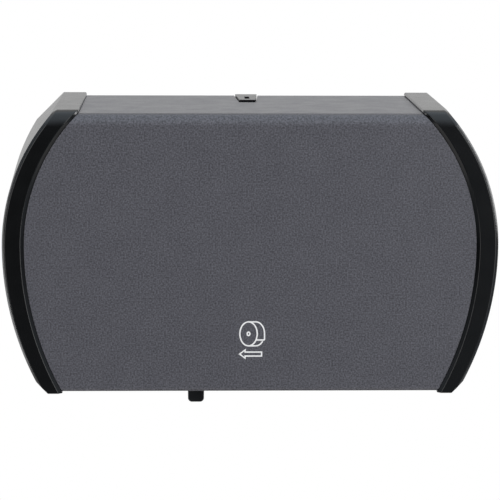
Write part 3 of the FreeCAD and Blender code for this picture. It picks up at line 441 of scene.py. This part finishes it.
FINISHES: dict[Slot, MouldedPlastic | PlatedSteel] = {
    Slot.SMOKE: MouldedPlastic(
        "smoke_cover", (0.085, 0.085, 0.100), roughness=0.33,
        grain_size=0.5 * MM, grain_depth=0.012 * MM,
        mottle=0.01, fleck=0.24, fleck_size=1.2 * MM, spread=0.6, wear_and_highlight=0.04),
    # The end caps' strong edge lightening is a painted highlight along their crest lines and
    # chamfers.
    Slot.CAP: MouldedPlastic(
        "black_end_cap", (0.002, 0.002, 0.0022), roughness=0.22,
        grain_size=0.4 * MM, grain_depth=0.002 * MM,
        specular=0.4, mottle=0.04, wear_and_highlight=0.5, wear_and_highlight_gain=14.0, unevenness=0.04),
    Slot.BLACK: MouldedPlastic(
        "black_satin", (0.003, 0.003, 0.0033), roughness=0.24,
        grain_size=0.5 * MM, grain_depth=0.003 * MM, wear_and_highlight=0.4, wear_and_highlight_gain=6.0),
    Slot.CHASSIS: MouldedPlastic(
        "dark_chassis", (0.028, 0.028, 0.031), roughness=0.55,
        grain_size=0.8 * MM, grain_depth=0.025 * MM),
    Slot.SHUTTER: MouldedPlastic(
        "grey_shutter", (0.05, 0.05, 0.055), roughness=0.45,
        grain_size=0.6 * MM, grain_depth=0.015 * MM),
    Slot.SPINDLE: MouldedPlastic(
        "light_spindle", (0.30, 0.30, 0.31), roughness=0.42,
        grain_size=0.6 * MM, grain_depth=0.010 * MM, wear_and_highlight=0.06),
    Slot.STEEL: PlatedSteel("zinc_plate", (0.58, 0.58, 0.60), roughness=0.32),
}
WHITE_PRINT = PrintInk("white_print", (0.88, 0.89, 0.90), thin_tone=(0.60, 0.60, 0.63))


@dataclass
class Palette:
    """Materials of the object, each built once."""

    made: dict[str, bpy.types.Material] = field(default_factory=dict)

    def of(self, finish: MouldedPlastic | PlatedSteel | PrintInk) -> bpy.types.Material:
        """Finds or builds the material of a finish.

        Args:
            finish: The finish.

        Returns:
            Its material.
        """
        if finish.name not in self.made:
            self.made[finish.name] = finish.material()
        return self.made[finish.name]

    def slot(self, slot: Slot) -> bpy.types.Material:
        """Material of one of the record's slots."""
        return self.of(FINISHES[slot])


def node_slot(node: str) -> Slot:
    """Material slot that the record gives a node."""
    parts = frame["record"]["subparts"]
    return Slot(next(part["material_slot"] for part in parts if part["node"] == node))


def dress_node(node: str, palette: Palette) -> None:
    """Gives a carried-over node its finish.

    Args:
        node: Name of the node.
        palette: Materials.
    """
    for holder in frame["nodes"][node].material_slots:
        holder.material = palette.slot(node_slot(node))
    log.info("node %s: %s", node, node_slot(node).value)


def add_piece(
    name: str, mesh: bpy.types.Mesh, material: bpy.types.Material, body: Body
) -> bpy.types.Object:
    """Links a new piece to the scene, dresses it and lets it ride on a body.

    Args:
        name: Name of the piece.
        mesh: Its mesh, in the row frame.
        material: Its finish.
        body: Body that carries it.

    Returns:
        The piece.
    """
    mesh.materials.clear()
    mesh.materials.append(material)
    piece = bpy.data.objects.new(name, mesh)
    bpy.context.scene.collection.objects.link(piece)
    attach(piece, body.value)
    log.info("piece %s: %d faces on %s", name, len(mesh.polygons), body.value)
    return piece


def mesh_of(name: str, shape: bmesh.types.BMesh, smooth_angle: float = 35.0) -> bpy.types.Mesh:
    """Turns a finished bmesh into a mesh, smooth but for its sharp edges.

    Args:
        name: Name of the mesh.
        shape: The bmesh, which is freed.
        smooth_angle: Angle in degrees past which an edge stays sharp.

    Returns:
        The mesh.
    """
    bmesh.ops.recalc_face_normals(shape, faces=shape.faces)
    mesh = bpy.data.meshes.new(name)
    shape.to_mesh(mesh)
    shape.free()
    mesh.shade_smooth()
    mesh.set_sharp_from_angle(angle=math.radians(smooth_angle))
    return mesh


def with_modifiers(
    mesh: bpy.types.Mesh, steps: Sequence[tuple[str, Mapping[str, object]]]
) -> bpy.types.Mesh:
    """Runs modifiers on a mesh and keeps their result.

    Args:
        mesh: The mesh to start from.
        steps: Type and settings of each modifier, in order.

    Returns:
        The new mesh.
    """
    holder = bpy.data.objects.new("holder", mesh)
    bpy.context.scene.collection.objects.link(holder)
    for kind, settings in steps:
        modifier = holder.modifiers.new(kind.lower(), kind)
        for name, choice in settings.items():
            setattr(modifier, name, choice)
    view = bpy.context.evaluated_depsgraph_get()
    result = bpy.data.meshes.new_from_object(
        holder.evaluated_get(view), preserve_all_data_layers=True, depsgraph=view)
    bpy.data.objects.remove(holder)
    return result


def ring_grid(shape: bmesh.types.BMesh, rings: Sequence[Sequence[Spot]]) -> None:
    """Skins a row of rings of equal count and closes both ends.

    Args:
        shape: The bmesh that gets the skin.
        rings: Points of each ring.
    """
    rows = [[shape.verts.new(spot) for spot in ring] for ring in rings]
    for row, following in zip(rows, rows[1:]):
        for index in range(len(row)):
            beside = (index + 1) % len(row)
            shape.faces.new((row[index], row[beside], following[beside], following[index]))
    shape.faces.new(list(reversed(rows[0])))
    shape.faces.new(rows[-1])


def lathe_ring(radius: Callable[[float], float], level: float, count: int) -> list[Spot]:
    """Points of a ring about the Z axis whose radius may change with the angle."""
    angles = [FULL_TURN * step / count for step in range(count)]
    return [(radius(a) * math.cos(a), radius(a) * math.sin(a), level) for a in angles]


def islands(node: str) -> list[tuple[Vector, Vector]]:
    """Boxes of the separate solids that one node groups.

    Args:
        node: Name of the node.

    Returns:
        Lowest and highest corner of each solid.
    """
    shape = bmesh.new()
    shape.from_mesh(frame["nodes"][node].data)
    bmesh.ops.remove_doubles(shape, verts=shape.verts, dist=WELD_DISTANCE)
    left = set(shape.verts)
    boxes = []
    while left:
        front = [left.pop()]
        group = []
        while front:
            vert = front.pop()
            group.append(vert.co.copy())
            for edge in vert.link_edges:
                other = edge.other_vert(vert)
                if other in left:
                    left.remove(other)
                    front.append(other)
        low = Vector(min(spot[axis] for spot in group) for axis in range(3))
        high = Vector(max(spot[axis] for spot in group) for axis in range(3))
        boxes.append((low, high))
    shape.free()
    return boxes


def keep_in_box(mesh: bpy.types.Mesh, node: str) -> None:
    """Moves points that stand past a node's box back to it.

    Args:
        mesh: Mesh of the piece that stands for the node.
        node: Name of the node.
    """
    low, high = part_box(node)
    for vert in mesh.vertices:
        vert.co = [min(max(vert.co[axis], low[axis]), high[axis]) for axis in range(3)]


@dataclass
class RoundedMoulding:
    """Copy of a moulded node whose sharp edges are rounded in the mesh."""

    node: str
    body: Body
    radius: float = 0.4 * MM
    segments: int = 2
    edge_angle: float = 28.0
    flat_angle: float = 0.4
    normal_weight: int = 100

    def build(self, palette: Palette) -> bpy.types.Object:
        """Makes the piece that stands for the node.

        Args:
            palette: Materials.

        Returns:
            The piece.
        """
        shape = bmesh.new()
        shape.from_mesh(frame["nodes"][self.node].data)
        bmesh.ops.remove_doubles(shape, verts=shape.verts, dist=WELD_DISTANCE)
        bmesh.ops.dissolve_limit(
            shape, angle_limit=math.radians(self.flat_angle), verts=shape.verts, edges=shape.edges)
        mesh = mesh_of(self.node + "_core", shape, smooth_angle=180.0)
        mesh = with_modifiers(mesh, [
            ("BEVEL", {
                "width": self.radius, "segments": self.segments, "limit_method": "ANGLE",
                "angle_limit": math.radians(self.edge_angle), "miter_outer": "MITER_ARC",
                "use_clamp_overlap": False}),
            ("WEIGHTED_NORMAL", {"weight": self.normal_weight, "keep_sharp": False}),
        ])
        keep_in_box(mesh, self.node)
        slot = node_slot(self.node)
        piece = add_piece(self.node + "_moulding", mesh, palette.slot(slot), self.body)
        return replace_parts(piece, self.node)


@dataclass
class PanScrews:
    """Pan-head screws of one node, with a cross recess and a cut thread."""

    node: str
    body: Body
    facing: Facing
    shank_radius: float
    head_height: float = 2.4 * MM
    rim_height: float = 0.9 * MM
    pitch: float = 1.3 * MM
    thread_depth: float = 0.35 * MM
    recess_depth: float = 1.3 * MM
    recess_rise: float = 1.0 * MM
    recess_shares: Spot = (0.55, 1.0, 1.2)
    wing_share: float = 0.56
    wing_half_share: float = 0.13
    rim_chamfer: float = 0.15 * MM
    tip_share: float = 0.6
    turn_step: float = 2.4
    count: int = 20
    dome_rings: int = 6
    rings_per_pitch: int = 4

    def outline(self, head_radius: float, length: float) -> list[list[Spot]]:
        """Rings from the top of the head to the tip of the shank.

        Args:
            head_radius: Radius of the head.
            length: Length of the shank.

        Returns:
            Points of each ring.
        """
        dome = self.head_height - self.rim_height
        rings = []
        for step in range(1, self.dome_rings + 1):
            angle = math.pi / 2 * step / self.dome_rings
            radius = head_radius * math.sin(angle)
            level = self.rim_height + dome * math.cos(angle)
            rings.append(lathe_ring(lambda _: radius, level, self.count))
        rings.append(lathe_ring(lambda _: head_radius, self.rim_chamfer, self.count))
        rings.append(lathe_ring(lambda _: head_radius - self.rim_chamfer, 0.0, self.count))
        steps = int(length / self.pitch * self.rings_per_pitch)
        for step in range(steps):
            depth = length * step / steps

            def threaded(angle: float) -> float:
                """Radius of the thread at an angle of this ring."""
                turn = (depth / self.pitch + angle / FULL_TURN) % 1.0
                return self.shank_radius - self.thread_depth * abs(2 * turn - 1)

            rings.append(lathe_ring(threaded, -depth, self.count))
        tip = self.shank_radius - self.thread_depth
        rings.append(lathe_ring(lambda _: self.tip_share * tip, -length, self.count))
        return rings

    def recess(self, head_radius: float) -> bpy.types.Mesh:
        """Tapered cross that is sunk in the head.

        Args:
            head_radius: Radius of the head.

        Returns:
            The mesh of the cross.
        """
        wing, half = self.wing_share * head_radius, self.wing_half_share * head_radius
        corner = [(wing, -half), (wing, half), (half, half)]
        cross = []
        for turn in range(4):
            spin = Matrix.Rotation(turn * math.pi / 2, 2)
            cross += [spin @ Vector(spot) for spot in corner]
        shape = bmesh.new()
        top = self.head_height
        levels = (top - self.recess_depth, top, top + self.recess_rise)
        ring_grid(shape, [
            [(*(spot * share), level) for spot in cross]
            for level, share in zip(levels, self.recess_shares)])
        return mesh_of("recess", shape)

    def build(self, palette: Palette) -> bpy.types.Object:
        """Makes all screws of the node as one piece.

        Args:
            palette: Materials.

        Returns:
            The piece.
        """
        way = Vector(self.facing.value)
        turn = way.to_track_quat("Z", "Y").to_matrix().to_4x4()
        boxes = islands(self.node)
        low, high = boxes[0]
        across = [axis for axis in range(3) if not way[axis]]
        head_radius = (high - low)[across[0]] / 2
        length = abs((high - low).dot(way)) - self.head_height
        cutter = bpy.data.objects.new("recess", self.recess(head_radius))
        bpy.context.scene.collection.objects.link(cutter)
        shape = bmesh.new()
        ring_grid(shape, self.outline(head_radius, length))
        single = with_modifiers(mesh_of("screw", shape), [
            ("BOOLEAN", {"operation": "DIFFERENCE", "object": cutter, "solver": "EXACT"})])
        bpy.data.objects.remove(cutter)
        group = bmesh.new()
        for index, (low, high) in enumerate(boxes):
            seat = (low + high) / 2
            edge = max(low.dot(way), high.dot(way)) - self.head_height
            seat += way * (edge - seat.dot(way))
            copy = single.copy()
            spin = Matrix.Rotation(index * self.turn_step, 4, "Z")
            copy.transform(Matrix.Translation(seat) @ turn @ spin)
            group.from_mesh(copy)
            bpy.data.meshes.remove(copy)
        mesh = mesh_of(self.node + "_set", group)
        piece = add_piece(
            self.node + "_set", mesh, palette.slot(Slot.STEEL), self.body)
        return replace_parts(piece, self.node)


@dataclass
class CoilSpring:
    """Compression spring with closed end turns."""

    node: str
    body: Body
    joint: str
    axis: Spot
    wire: float
    travel: float
    active_turns: int = 5
    end_turns: int = 2
    closed_share: float = 1.04
    points_per_turn: int = 28
    sides: int = 10

    def level(self, turn: float, rise: float) -> float:
        """Height of the wire's centre after a number of turns.

        Args:
            turn: Turns from the foot.
            rise: Height between the centres of the first and the last point.

        Returns:
            The height above the foot's centre.
        """
        closed = self.closed_share * self.wire
        pitch = (rise - self.end_turns * closed) / self.active_turns
        if turn < 1:
            return closed * turn
        if turn < 1 + self.active_turns:
            return closed + pitch * (turn - 1)
        return closed + pitch * self.active_turns + closed * (turn - 1 - self.active_turns)

    def build(self, palette: Palette) -> bpy.types.Object:
        """Makes the spring.

        Args:
            palette: Materials.

        Returns:
            The piece.
        """
        low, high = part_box(self.node)
        way = Vector(self.axis)
        length = abs((high - low).dot(way))
        across = [axis for axis in range(3) if not way[axis]]
        radius = ((high - low)[across[0]] - self.wire) / 2
        middle = (low + high) / 2
        foot = middle - way * (length / 2)
        turns = self.active_turns + self.end_turns
        rise = length - self.wire
        steps = turns * self.points_per_turn
        rings = []
        for step in range(steps + 1):
            turn = turns * step / steps
            angle = FULL_TURN * turn
            outward = Vector((math.cos(angle), math.sin(angle), 0.0))
            centre = outward * radius
            centre.z = self.wire / 2 + self.level(turn, rise)
            rings.append([
                centre + (outward * math.cos(a) + Vector((0, 0, math.sin(a)))) * self.wire / 2
                for a in (FULL_TURN * side / self.sides for side in range(self.sides))])
        shape = bmesh.new()
        ring_grid(shape, rings)
        place = Matrix.Translation(foot) @ way.to_track_quat("Z", "Y").to_matrix().to_4x4()
        bmesh.ops.transform(shape, matrix=place, verts=shape.verts)
        mesh = mesh_of(self.node + "_coil", shape, smooth_angle=60.0)
        piece = add_piece(
            self.node + "_coil", mesh, palette.slot(Slot.STEEL), self.body)
        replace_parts(piece, self.node)
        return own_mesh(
            piece, self.joint, axis=self.axis, anchor=tuple(foot), keep=1 - self.travel / length)


@dataclass
class ReserveSign:
    """Printed sign on the panel: a tissue roll and an arrow to the side that the tab slides to."""

    front: float
    roll_centre: Flat = (-1.4 * MM, -59.5 * MM)
    roll_radii: Flat = (6.4 * MM, 9.0 * MM)
    core_radii: Flat = (1.0 * MM, 1.3 * MM)
    roll_depth: float = 5.4 * MM
    sheet_drop: float = 4.6 * MM
    arrow_tip: Flat = (-7.9 * MM, -74.7 * MM)
    arrow_length: float = 16.2 * MM
    arrow_head: Flat = (4.0 * MM, 3.1 * MM)
    arrow_shaft: float = 1.5 * MM
    stroke: float = 1.05 * MM
    film: float = 0.04 * MM
    film_step: float = 0.012 * MM
    sheet_gap: float = 0.02
    least_lean: float = 0.3
    most_stretch: float = 2.0
    steps: int = 48

    def ellipse(self, centre: Flat, radii: Flat, start: float, end: float) -> list[Flat]:
        """Points on part of an ellipse.

        Args:
            centre: Its centre, across and up.
            radii: Its radii, across and up.
            start: Angle of the first point, in turns from the right, anticlockwise.
            end: Angle of the last point.

        Returns:
            The points.
        """
        span = end - start
        angles = [FULL_TURN * (start + span * k / self.steps) for k in range(self.steps + 1)]
        return [(centre[0] + radii[0] * math.cos(a), centre[1] + radii[1] * math.sin(a))
                for a in angles]

    def ribbon(
        self, shape: bmesh.types.BMesh, path: Sequence[Flat], closed: bool, layer: int = 0
    ) -> None:
        """Adds one printed line as a thin closed film.

        Args:
            shape: The bmesh that gets the film.
            path: Points of the line's middle, across and up.
            closed: Whether the line returns to its first point.
            layer: Place in the order of printing, where a later line lies on top.
        """
        face = self.front - self.film - layer * self.film_step
        spots = [Vector(spot) for spot in path]
        count = len(spots)
        edges: list[tuple[Vector, Vector]] = []
        for index, spot in enumerate(spots):
            before = spots[index - 1] if closed or index else spot
            after = spots[(index + 1) % count] if closed or index < count - 1 else spot
            sides = [(b - a).normalized() for a, b in ((before, spot), (spot, after)) if a != b]
            along = sum(sides, Vector((0.0, 0.0))).normalized()
            stretch = min(1 / max(along.dot(sides[0]), self.least_lean), self.most_stretch)
            out = Vector((-along.y, along.x)) * (self.stroke / 2 * stretch)
            edges.append((spot + out, spot - out))
        rings = []
        for left, right in edges:
            rings.append([
                (left.x, self.front, left.y), (right.x, self.front, right.y),
                (right.x, face, right.y), (left.x, face, left.y)])
        if not closed:
            ring_grid(shape, rings)
            return
        rows = [[shape.verts.new(spot) for spot in ring] for ring in rings]
        for row, following in zip(rows, rows[1:] + rows[:1]):
            for index in range(4):
                beside = (index + 1) % 4
                shape.faces.new((row[index], row[beside], following[beside], following[index]))

    def roll(self, shape: bmesh.types.BMesh) -> None:
        """Draws the roll: two rings, the far rim and the loose sheet.

        Args:
            shape: The bmesh that gets the lines.
        """
        centre, radii = self.roll_centre, self.roll_radii
        far = (centre[0] + self.roll_depth, centre[1])
        self.ribbon(shape, self.ellipse(centre, radii, 0.0, 1.0)[:-1], True, layer=3)
        self.ribbon(shape, self.ellipse(centre, self.core_radii, 0.0, 1.0)[:-1], True)
        rim = self.ellipse(far, radii, QUARTER, 0.0)
        corner = (far[0] + radii[0], far[1] - self.sheet_drop)
        top = (centre[0], centre[1] + radii[1])
        self.ribbon(shape, [top, *rim, corner], False)
        level = corner[1]
        near = math.asin((level - centre[1]) / radii[1]) / FULL_TURN
        inner = self.ellipse(centre, radii, near, near + 1.0)[0]
        self.ribbon(shape, [corner, inner], False, layer=1)
        low = self.ellipse(far, radii, near - self.sheet_gap, -QUARTER)
        self.ribbon(shape, [*low, (centre[0], centre[1] - radii[1])], False, layer=2)

    def arrow(self, shape: bmesh.types.BMesh) -> None:
        """Draws the outline of an arrow that points to the left.

        Args:
            shape: The bmesh that gets the line.
        """
        tip = Vector(self.arrow_tip)
        length, rise = self.arrow_head
        half = self.arrow_shaft
        corners = [(0.0, 0.0), (length, rise), (length, half), (self.arrow_length, half)]
        corners += [(across, -up) for across, up in reversed(corners[1:])]
        self.ribbon(shape, [tuple(tip + Vector(corner)) for corner in corners], True)

    def build(self, palette: Palette) -> bpy.types.Object:
        """Makes the print.

        Args:
            palette: Materials.

        Returns:
            The piece.
        """
        shape = bmesh.new()
        self.roll(shape)
        self.arrow(shape)
        mesh = mesh_of("reserve_sign", shape, smooth_angle=50.0)
        return add_piece("reserve_sign", mesh, palette.of(WHITE_PRINT), Body.COVER)


@dataclass
class Cover:
    """Hinged cover: smoke panel, two black end caps and the printed sign."""

    edge: float = 0.35 * MM
    cap_edge: float = 0.45 * MM

    def build(self, palette: Palette) -> None:
        """Makes the pieces of the cover.

        Args:
            palette: Materials.
        """
        RoundedMoulding("front_panel", Body.COVER, self.edge).build(palette)
        for side in ("left", "right"):
            RoundedMoulding(f"{side}_end_cap", Body.COVER, self.cap_edge).build(palette)
        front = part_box("front_panel")[0].y
        ReserveSign(front).build(palette)


@dataclass
class Chassis:
    """Wall plate with its arms, rails, pins and screws."""

    arm_shank: float = 1.9 * MM
    rail_shank: float = 1.5 * MM
    plain_nodes: tuple[str, ...] = (
        "back_plate", "left_roll_arm", "right_roll_arm", "center_roll_arm", "left_rail_bracket",
        "right_rail_bracket", "front_rail", "rear_rail", "left_hinge_pin", "right_hinge_pin")

    def build(self, palette: Palette) -> None:
        """Dresses the nodes and makes the screws.

        Args:
            palette: Materials.
        """
        for node in self.plain_nodes:
            dress_node(node, palette)
        for node in ("arm_screws", "bracket_screws"):
            PanScrews(node, Body.CHASSIS, Facing.FRONT, self.arm_shank).build(palette)
        for side, facing in (("left", Facing.LEFT), ("right", Facing.RIGHT)):
            PanScrews(f"{side}_rail_screws", Body.CHASSIS, facing, self.rail_shank).build(palette)


@dataclass
class Latch:
    """Key latch: bracket, pivot pin, sprung tongue and its screws."""

    shank: float = 1.9 * MM
    wire: float = 0.9 * MM
    spring_travel: float = 2.4 * MM
    tongue_edge: float = 0.25 * MM

    def build(self, palette: Palette) -> None:
        """Dresses the nodes and makes the tongue, spring and screws.

        Args:
            palette: Materials.
        """
        for node in ("latch_bracket", "latch_pin"):
            dress_node(node, palette)
        RoundedMoulding("latch_tongue", Body.LATCH, self.tongue_edge).build(palette)
        PanScrews("latch_screws", Body.CHASSIS, Facing.FRONT, self.shank).build(palette)
        CoilSpring(
            "latch_spring", Body.CHASSIS, "latch_press", (0.0, 0.0, 1.0), self.wire,
            self.spring_travel).build(palette)


@dataclass
class Shutter:
    """Sliding shutter with its finger tab and screw."""

    tab_edge: float = 0.6 * MM
    gate_edge: float = 0.3 * MM
    shank: float = 1.2 * MM
    pitch: float = 0.9 * MM

    def build(self, palette: Palette) -> None:
        """Makes the pieces of the shutter.

        Args:
            palette: Materials.
        """
        RoundedMoulding("roll_shutter", Body.SHUTTER, self.gate_edge).build(palette)
        RoundedMoulding("shutter_tab", Body.SHUTTER, self.tab_edge, segments=3).build(palette)
        PanScrews(
            "tab_screw", Body.SHUTTER, Facing.UP, self.shank, pitch=self.pitch).build(palette)


@dataclass
class Spindles:
    """Pair of telescopic spindles, each a sleeve, a plunger and a spring."""

    wire: float = 1.2 * MM
    travel: float = 8.0 * MM

    def build(self, palette: Palette) -> None:
        """Dresses the nodes and makes the springs.

        Args:
            palette: Materials.
        """
        sides = (("left", Body.LEFT_SPINDLE, -1.0), ("right", Body.RIGHT_SPINDLE, 1.0))
        for side, body, way in sides:
            for part in ("sleeve", "plunger"):
                dress_node(f"{side}_spindle_{part}", palette)
            CoilSpring(
                f"{side}_spindle_spring", body, f"{side}_plunger_slide", (way, 0.0, 0.0),
                self.wire, self.travel).build(palette)


@dataclass(frozen=True)
class SoftBox:
    """Square studio lamp aimed at a point."""

    name: str
    place: Spot
    size: Flat
    watts: float
    tint: Rgb = WHITE
    aim: Spot = (0.0, -0.08, 0.0)
    mirrored: bool = True

    def build(self) -> None:
        """Hangs the lamp, which gloss mirrors or not."""
        lamp = bpy.data.lights.new(self.name, "AREA")
        lamp.shape = "RECTANGLE"
        lamp.size, lamp.size_y = self.size
        lamp.energy = self.watts
        lamp.color = self.tint
        holder = bpy.data.objects.new(self.name, lamp)
        holder.visible_glossy = self.mirrored
        way = Vector(self.aim) - Vector(self.place)
        holder.matrix_world = (
            Matrix.Translation(self.place) @ way.to_track_quat("-Z", "Y").to_matrix().to_4x4())
        bpy.context.scene.collection.objects.link(holder)


@dataclass
class Studio:
    """Camera, soft lamps, white surroundings and a pale floor far below the object.

    Each glow is what gloss mirrors from one side of the room, and each reach is the part of a
    direction over which that glow, or the white backdrop, sets in.
    """

    eye: Spot = (-0.04968, -1.7659, 0.26502)
    target: Spot = (-0.00060, -0.150, 0.003158)
    roll: float = 0.0044
    focal_pixels: float = 2234.0
    frame_pixels: float = 500.0
    sensor: float = 36.0
    floor_level: float = -0.42
    floor_radius: float = 0.7
    floor_rings: int = 8
    floor_sides: int = 64
    floor_fade: Flat = (0.35, 0.66)
    floor_tone: Rgb = (0.88, 0.88, 0.88)
    floor_shade: Rgb = (0.3, 0.3, 0.3)
    floor_white: float = 0.6
    ambient: float = 0.36
    backdrop: float = 0.75
    backdrop_reach: Flat = (0.35, 0.75)
    overhead_glow: float = 1.3
    overhead_reach: Flat = (0.05, 0.95)
    level_glow: float = 0.25
    level_reach: Flat = (-0.13, 0.02)
    low_glow: float = 0.25
    low_reach: Flat = (0.14, 0.3)
    right_glow: float = 0.2
    right_reach: Flat = (0.0, 0.2)
    front_glow: float = 0.004
    sky_tint: Rgb = (0.80, 0.90, 1.0)
    lamps: tuple[SoftBox, ...] = (
        SoftBox("key", (0.3, -1.6, 1.5), (1.6, 1.0), 6.0, mirrored=False),
        SoftBox("right_fill", (1.4, -1.75, 0.2), (1.3, 1.6), 19.0),
        SoftBox("left_fill", (-1.4, -1.75, 0.2), (1.3, 1.6), 14.0),
        SoftBox("left_strip", (-1.8, 0.2, -0.35), (0.6, 1.7), 14.0),
        SoftBox("right_strip", (1.8, 0.25, 0.45), (0.6, 1.1), 18.0),
    )

    def camera(self) -> None:
        """Sets the camera to the photograph's view."""
        lens = bpy.data.cameras.new("photo_camera")
        lens.sensor_width = self.sensor
        lens.lens = self.focal_pixels / self.frame_pixels * self.sensor
        holder = bpy.data.objects.new("photo_camera", lens)
        way = (Vector(self.target) - Vector(self.eye)).normalized()
        right = way.cross(Vector((0.0, 0.0, 1.0))).normalized()
        up = right.cross(way)
        turn, lean = math.cos(self.roll), math.sin(self.roll)
        across = right * turn + up * lean
        upward = up * turn - right * lean
        axes = Matrix((across, upward, -way)).transposed().to_4x4()
        holder.matrix_world = Matrix.Translation(self.eye) @ axes
        bpy.context.scene.collection.objects.link(holder)
        bpy.context.scene.camera = holder

    def surroundings(self) -> None:
        """Makes the world: white when seen, even for matt light, a dim room for gloss."""
        world = bpy.data.worlds.new("studio")
        world.use_nodes = True
        bpy.context.scene.world = world
        bench = Bench(world.node_tree)
        seen = bench.node("ShaderNodeLightPath", output="Is Camera Ray")
        gloss = bench.node("ShaderNodeLightPath", output="Is Glossy Ray")
        glass = bench.node("ShaderNodeLightPath", output="Is Transmission Ray")
        way = bench.node("ShaderNodeTexCoord", output="Generated")
        across, depth, height = (
            bench.node("ShaderNodeSeparateXYZ", sockets={0: way}, output=axis) for axis in "XYZ")
        behind = depth.between(*self.backdrop_reach)
        room = self.front_glow + height.between(*self.overhead_reach) * self.overhead_glow
        room = room + height.between(*self.level_reach) * self.level_glow
        room = room + (0 - height).between(*self.low_reach) * self.low_glow
        room = room + across.between(*self.right_reach) * self.right_glow
        mirrored = room + behind * (self.backdrop - room)
        mirror_ray = (gloss + glass).at_most(1.0)
        strength = self.ambient + mirror_ray * (mirrored - self.ambient)
        strength = strength + seen * (1 - strength)
        plain = (seen + behind + (1 - mirror_ray)).at_most(1.0)
        tint = bench.blend(plain, self.sky_tint, WHITE)
        shader = bench.node("ShaderNodeBackground", sockets={0: tint, 1: strength})
        bench.close("ShaderNodeOutputWorld", shader)

    def floor(self) -> None:
        """Makes a round pale floor that keeps a shadow, fades to white and is clear from below."""
        shape = bmesh.new()
        rings = []
        for ring in range(1, self.floor_rings + 1):
            radius = self.floor_radius * ring / self.floor_rings
            rings.append([
                shape.verts.new((*spot[:2], self.floor_level))
                for spot in lathe_ring(lambda _: radius, 0.0, self.floor_sides)])
        shape.faces.new(rings[0])
        for inner, outer in zip(rings, rings[1:]):
            for index in range(self.floor_sides):
                beside = (index + 1) % self.floor_sides
                shape.faces.new((inner[index], inner[beside], outer[beside], outer[index]))
        material, bench = new_bench("pale_floor")
        spot = bench.place()
        reach = bench.node(
            "ShaderNodeVectorMath", {"operation": "LENGTH"}, {0: spot}, output="Value")
        fade = reach.between(*self.floor_fade)
        seen = bench.node("ShaderNodeLightPath", output="Is Camera Ray")
        gloss = bench.node("ShaderNodeLightPath", output="Is Glossy Ray")
        glass = bench.node("ShaderNodeLightPath", output="Is Transmission Ray")
        pale = bench.blend(seen, self.floor_shade, self.floor_tone)
        matt = bench.node("ShaderNodeBsdfDiffuse", sockets={"Color": pale})
        glow = bench.node("ShaderNodeEmission", sockets={"Color": WHITE})
        white = self.floor_white + fade * (1 - self.floor_white)
        share = seen * white + (gloss + glass).at_most(1.0) * fade
        shader = bench.node("ShaderNodeMixShader", sockets={0: share, 1: matt, 2: glow})
        below = bench.node("ShaderNodeNewGeometry", output="Backfacing")
        clear = bench.node("ShaderNodeBsdfTransparent")
        shader = bench.node("ShaderNodeMixShader", sockets={0: below, 1: shader, 2: clear})
        bench.close("ShaderNodeOutputMaterial", shader)
        mesh = mesh_of("floor", shape)
        if mesh.polygons[0].normal.z < 0:
            mesh.flip_normals()
        mesh.materials.append(material)
        ground = bpy.data.objects.new("floor", mesh)
        bpy.context.scene.collection.objects.link(ground)

    def build(self) -> None:
        """Sets up the studio."""
        bpy.context.scene.view_settings.view_transform = "Standard"
        self.camera()
        self.surroundings()
        self.floor()
        for lamp in self.lamps:
            lamp.build()


def main() -> None:
    """Builds every sub-assembly and the studio around them."""
    logging.basicConfig(level=logging.INFO, format="%(message)s")
    palette = Palette()
    for assembly in (Chassis(), Latch(), Shutter(), Spindles(), Cover()):
        assembly.build(palette)
    Studio().build()


if __name__ == "__main__":
    main()
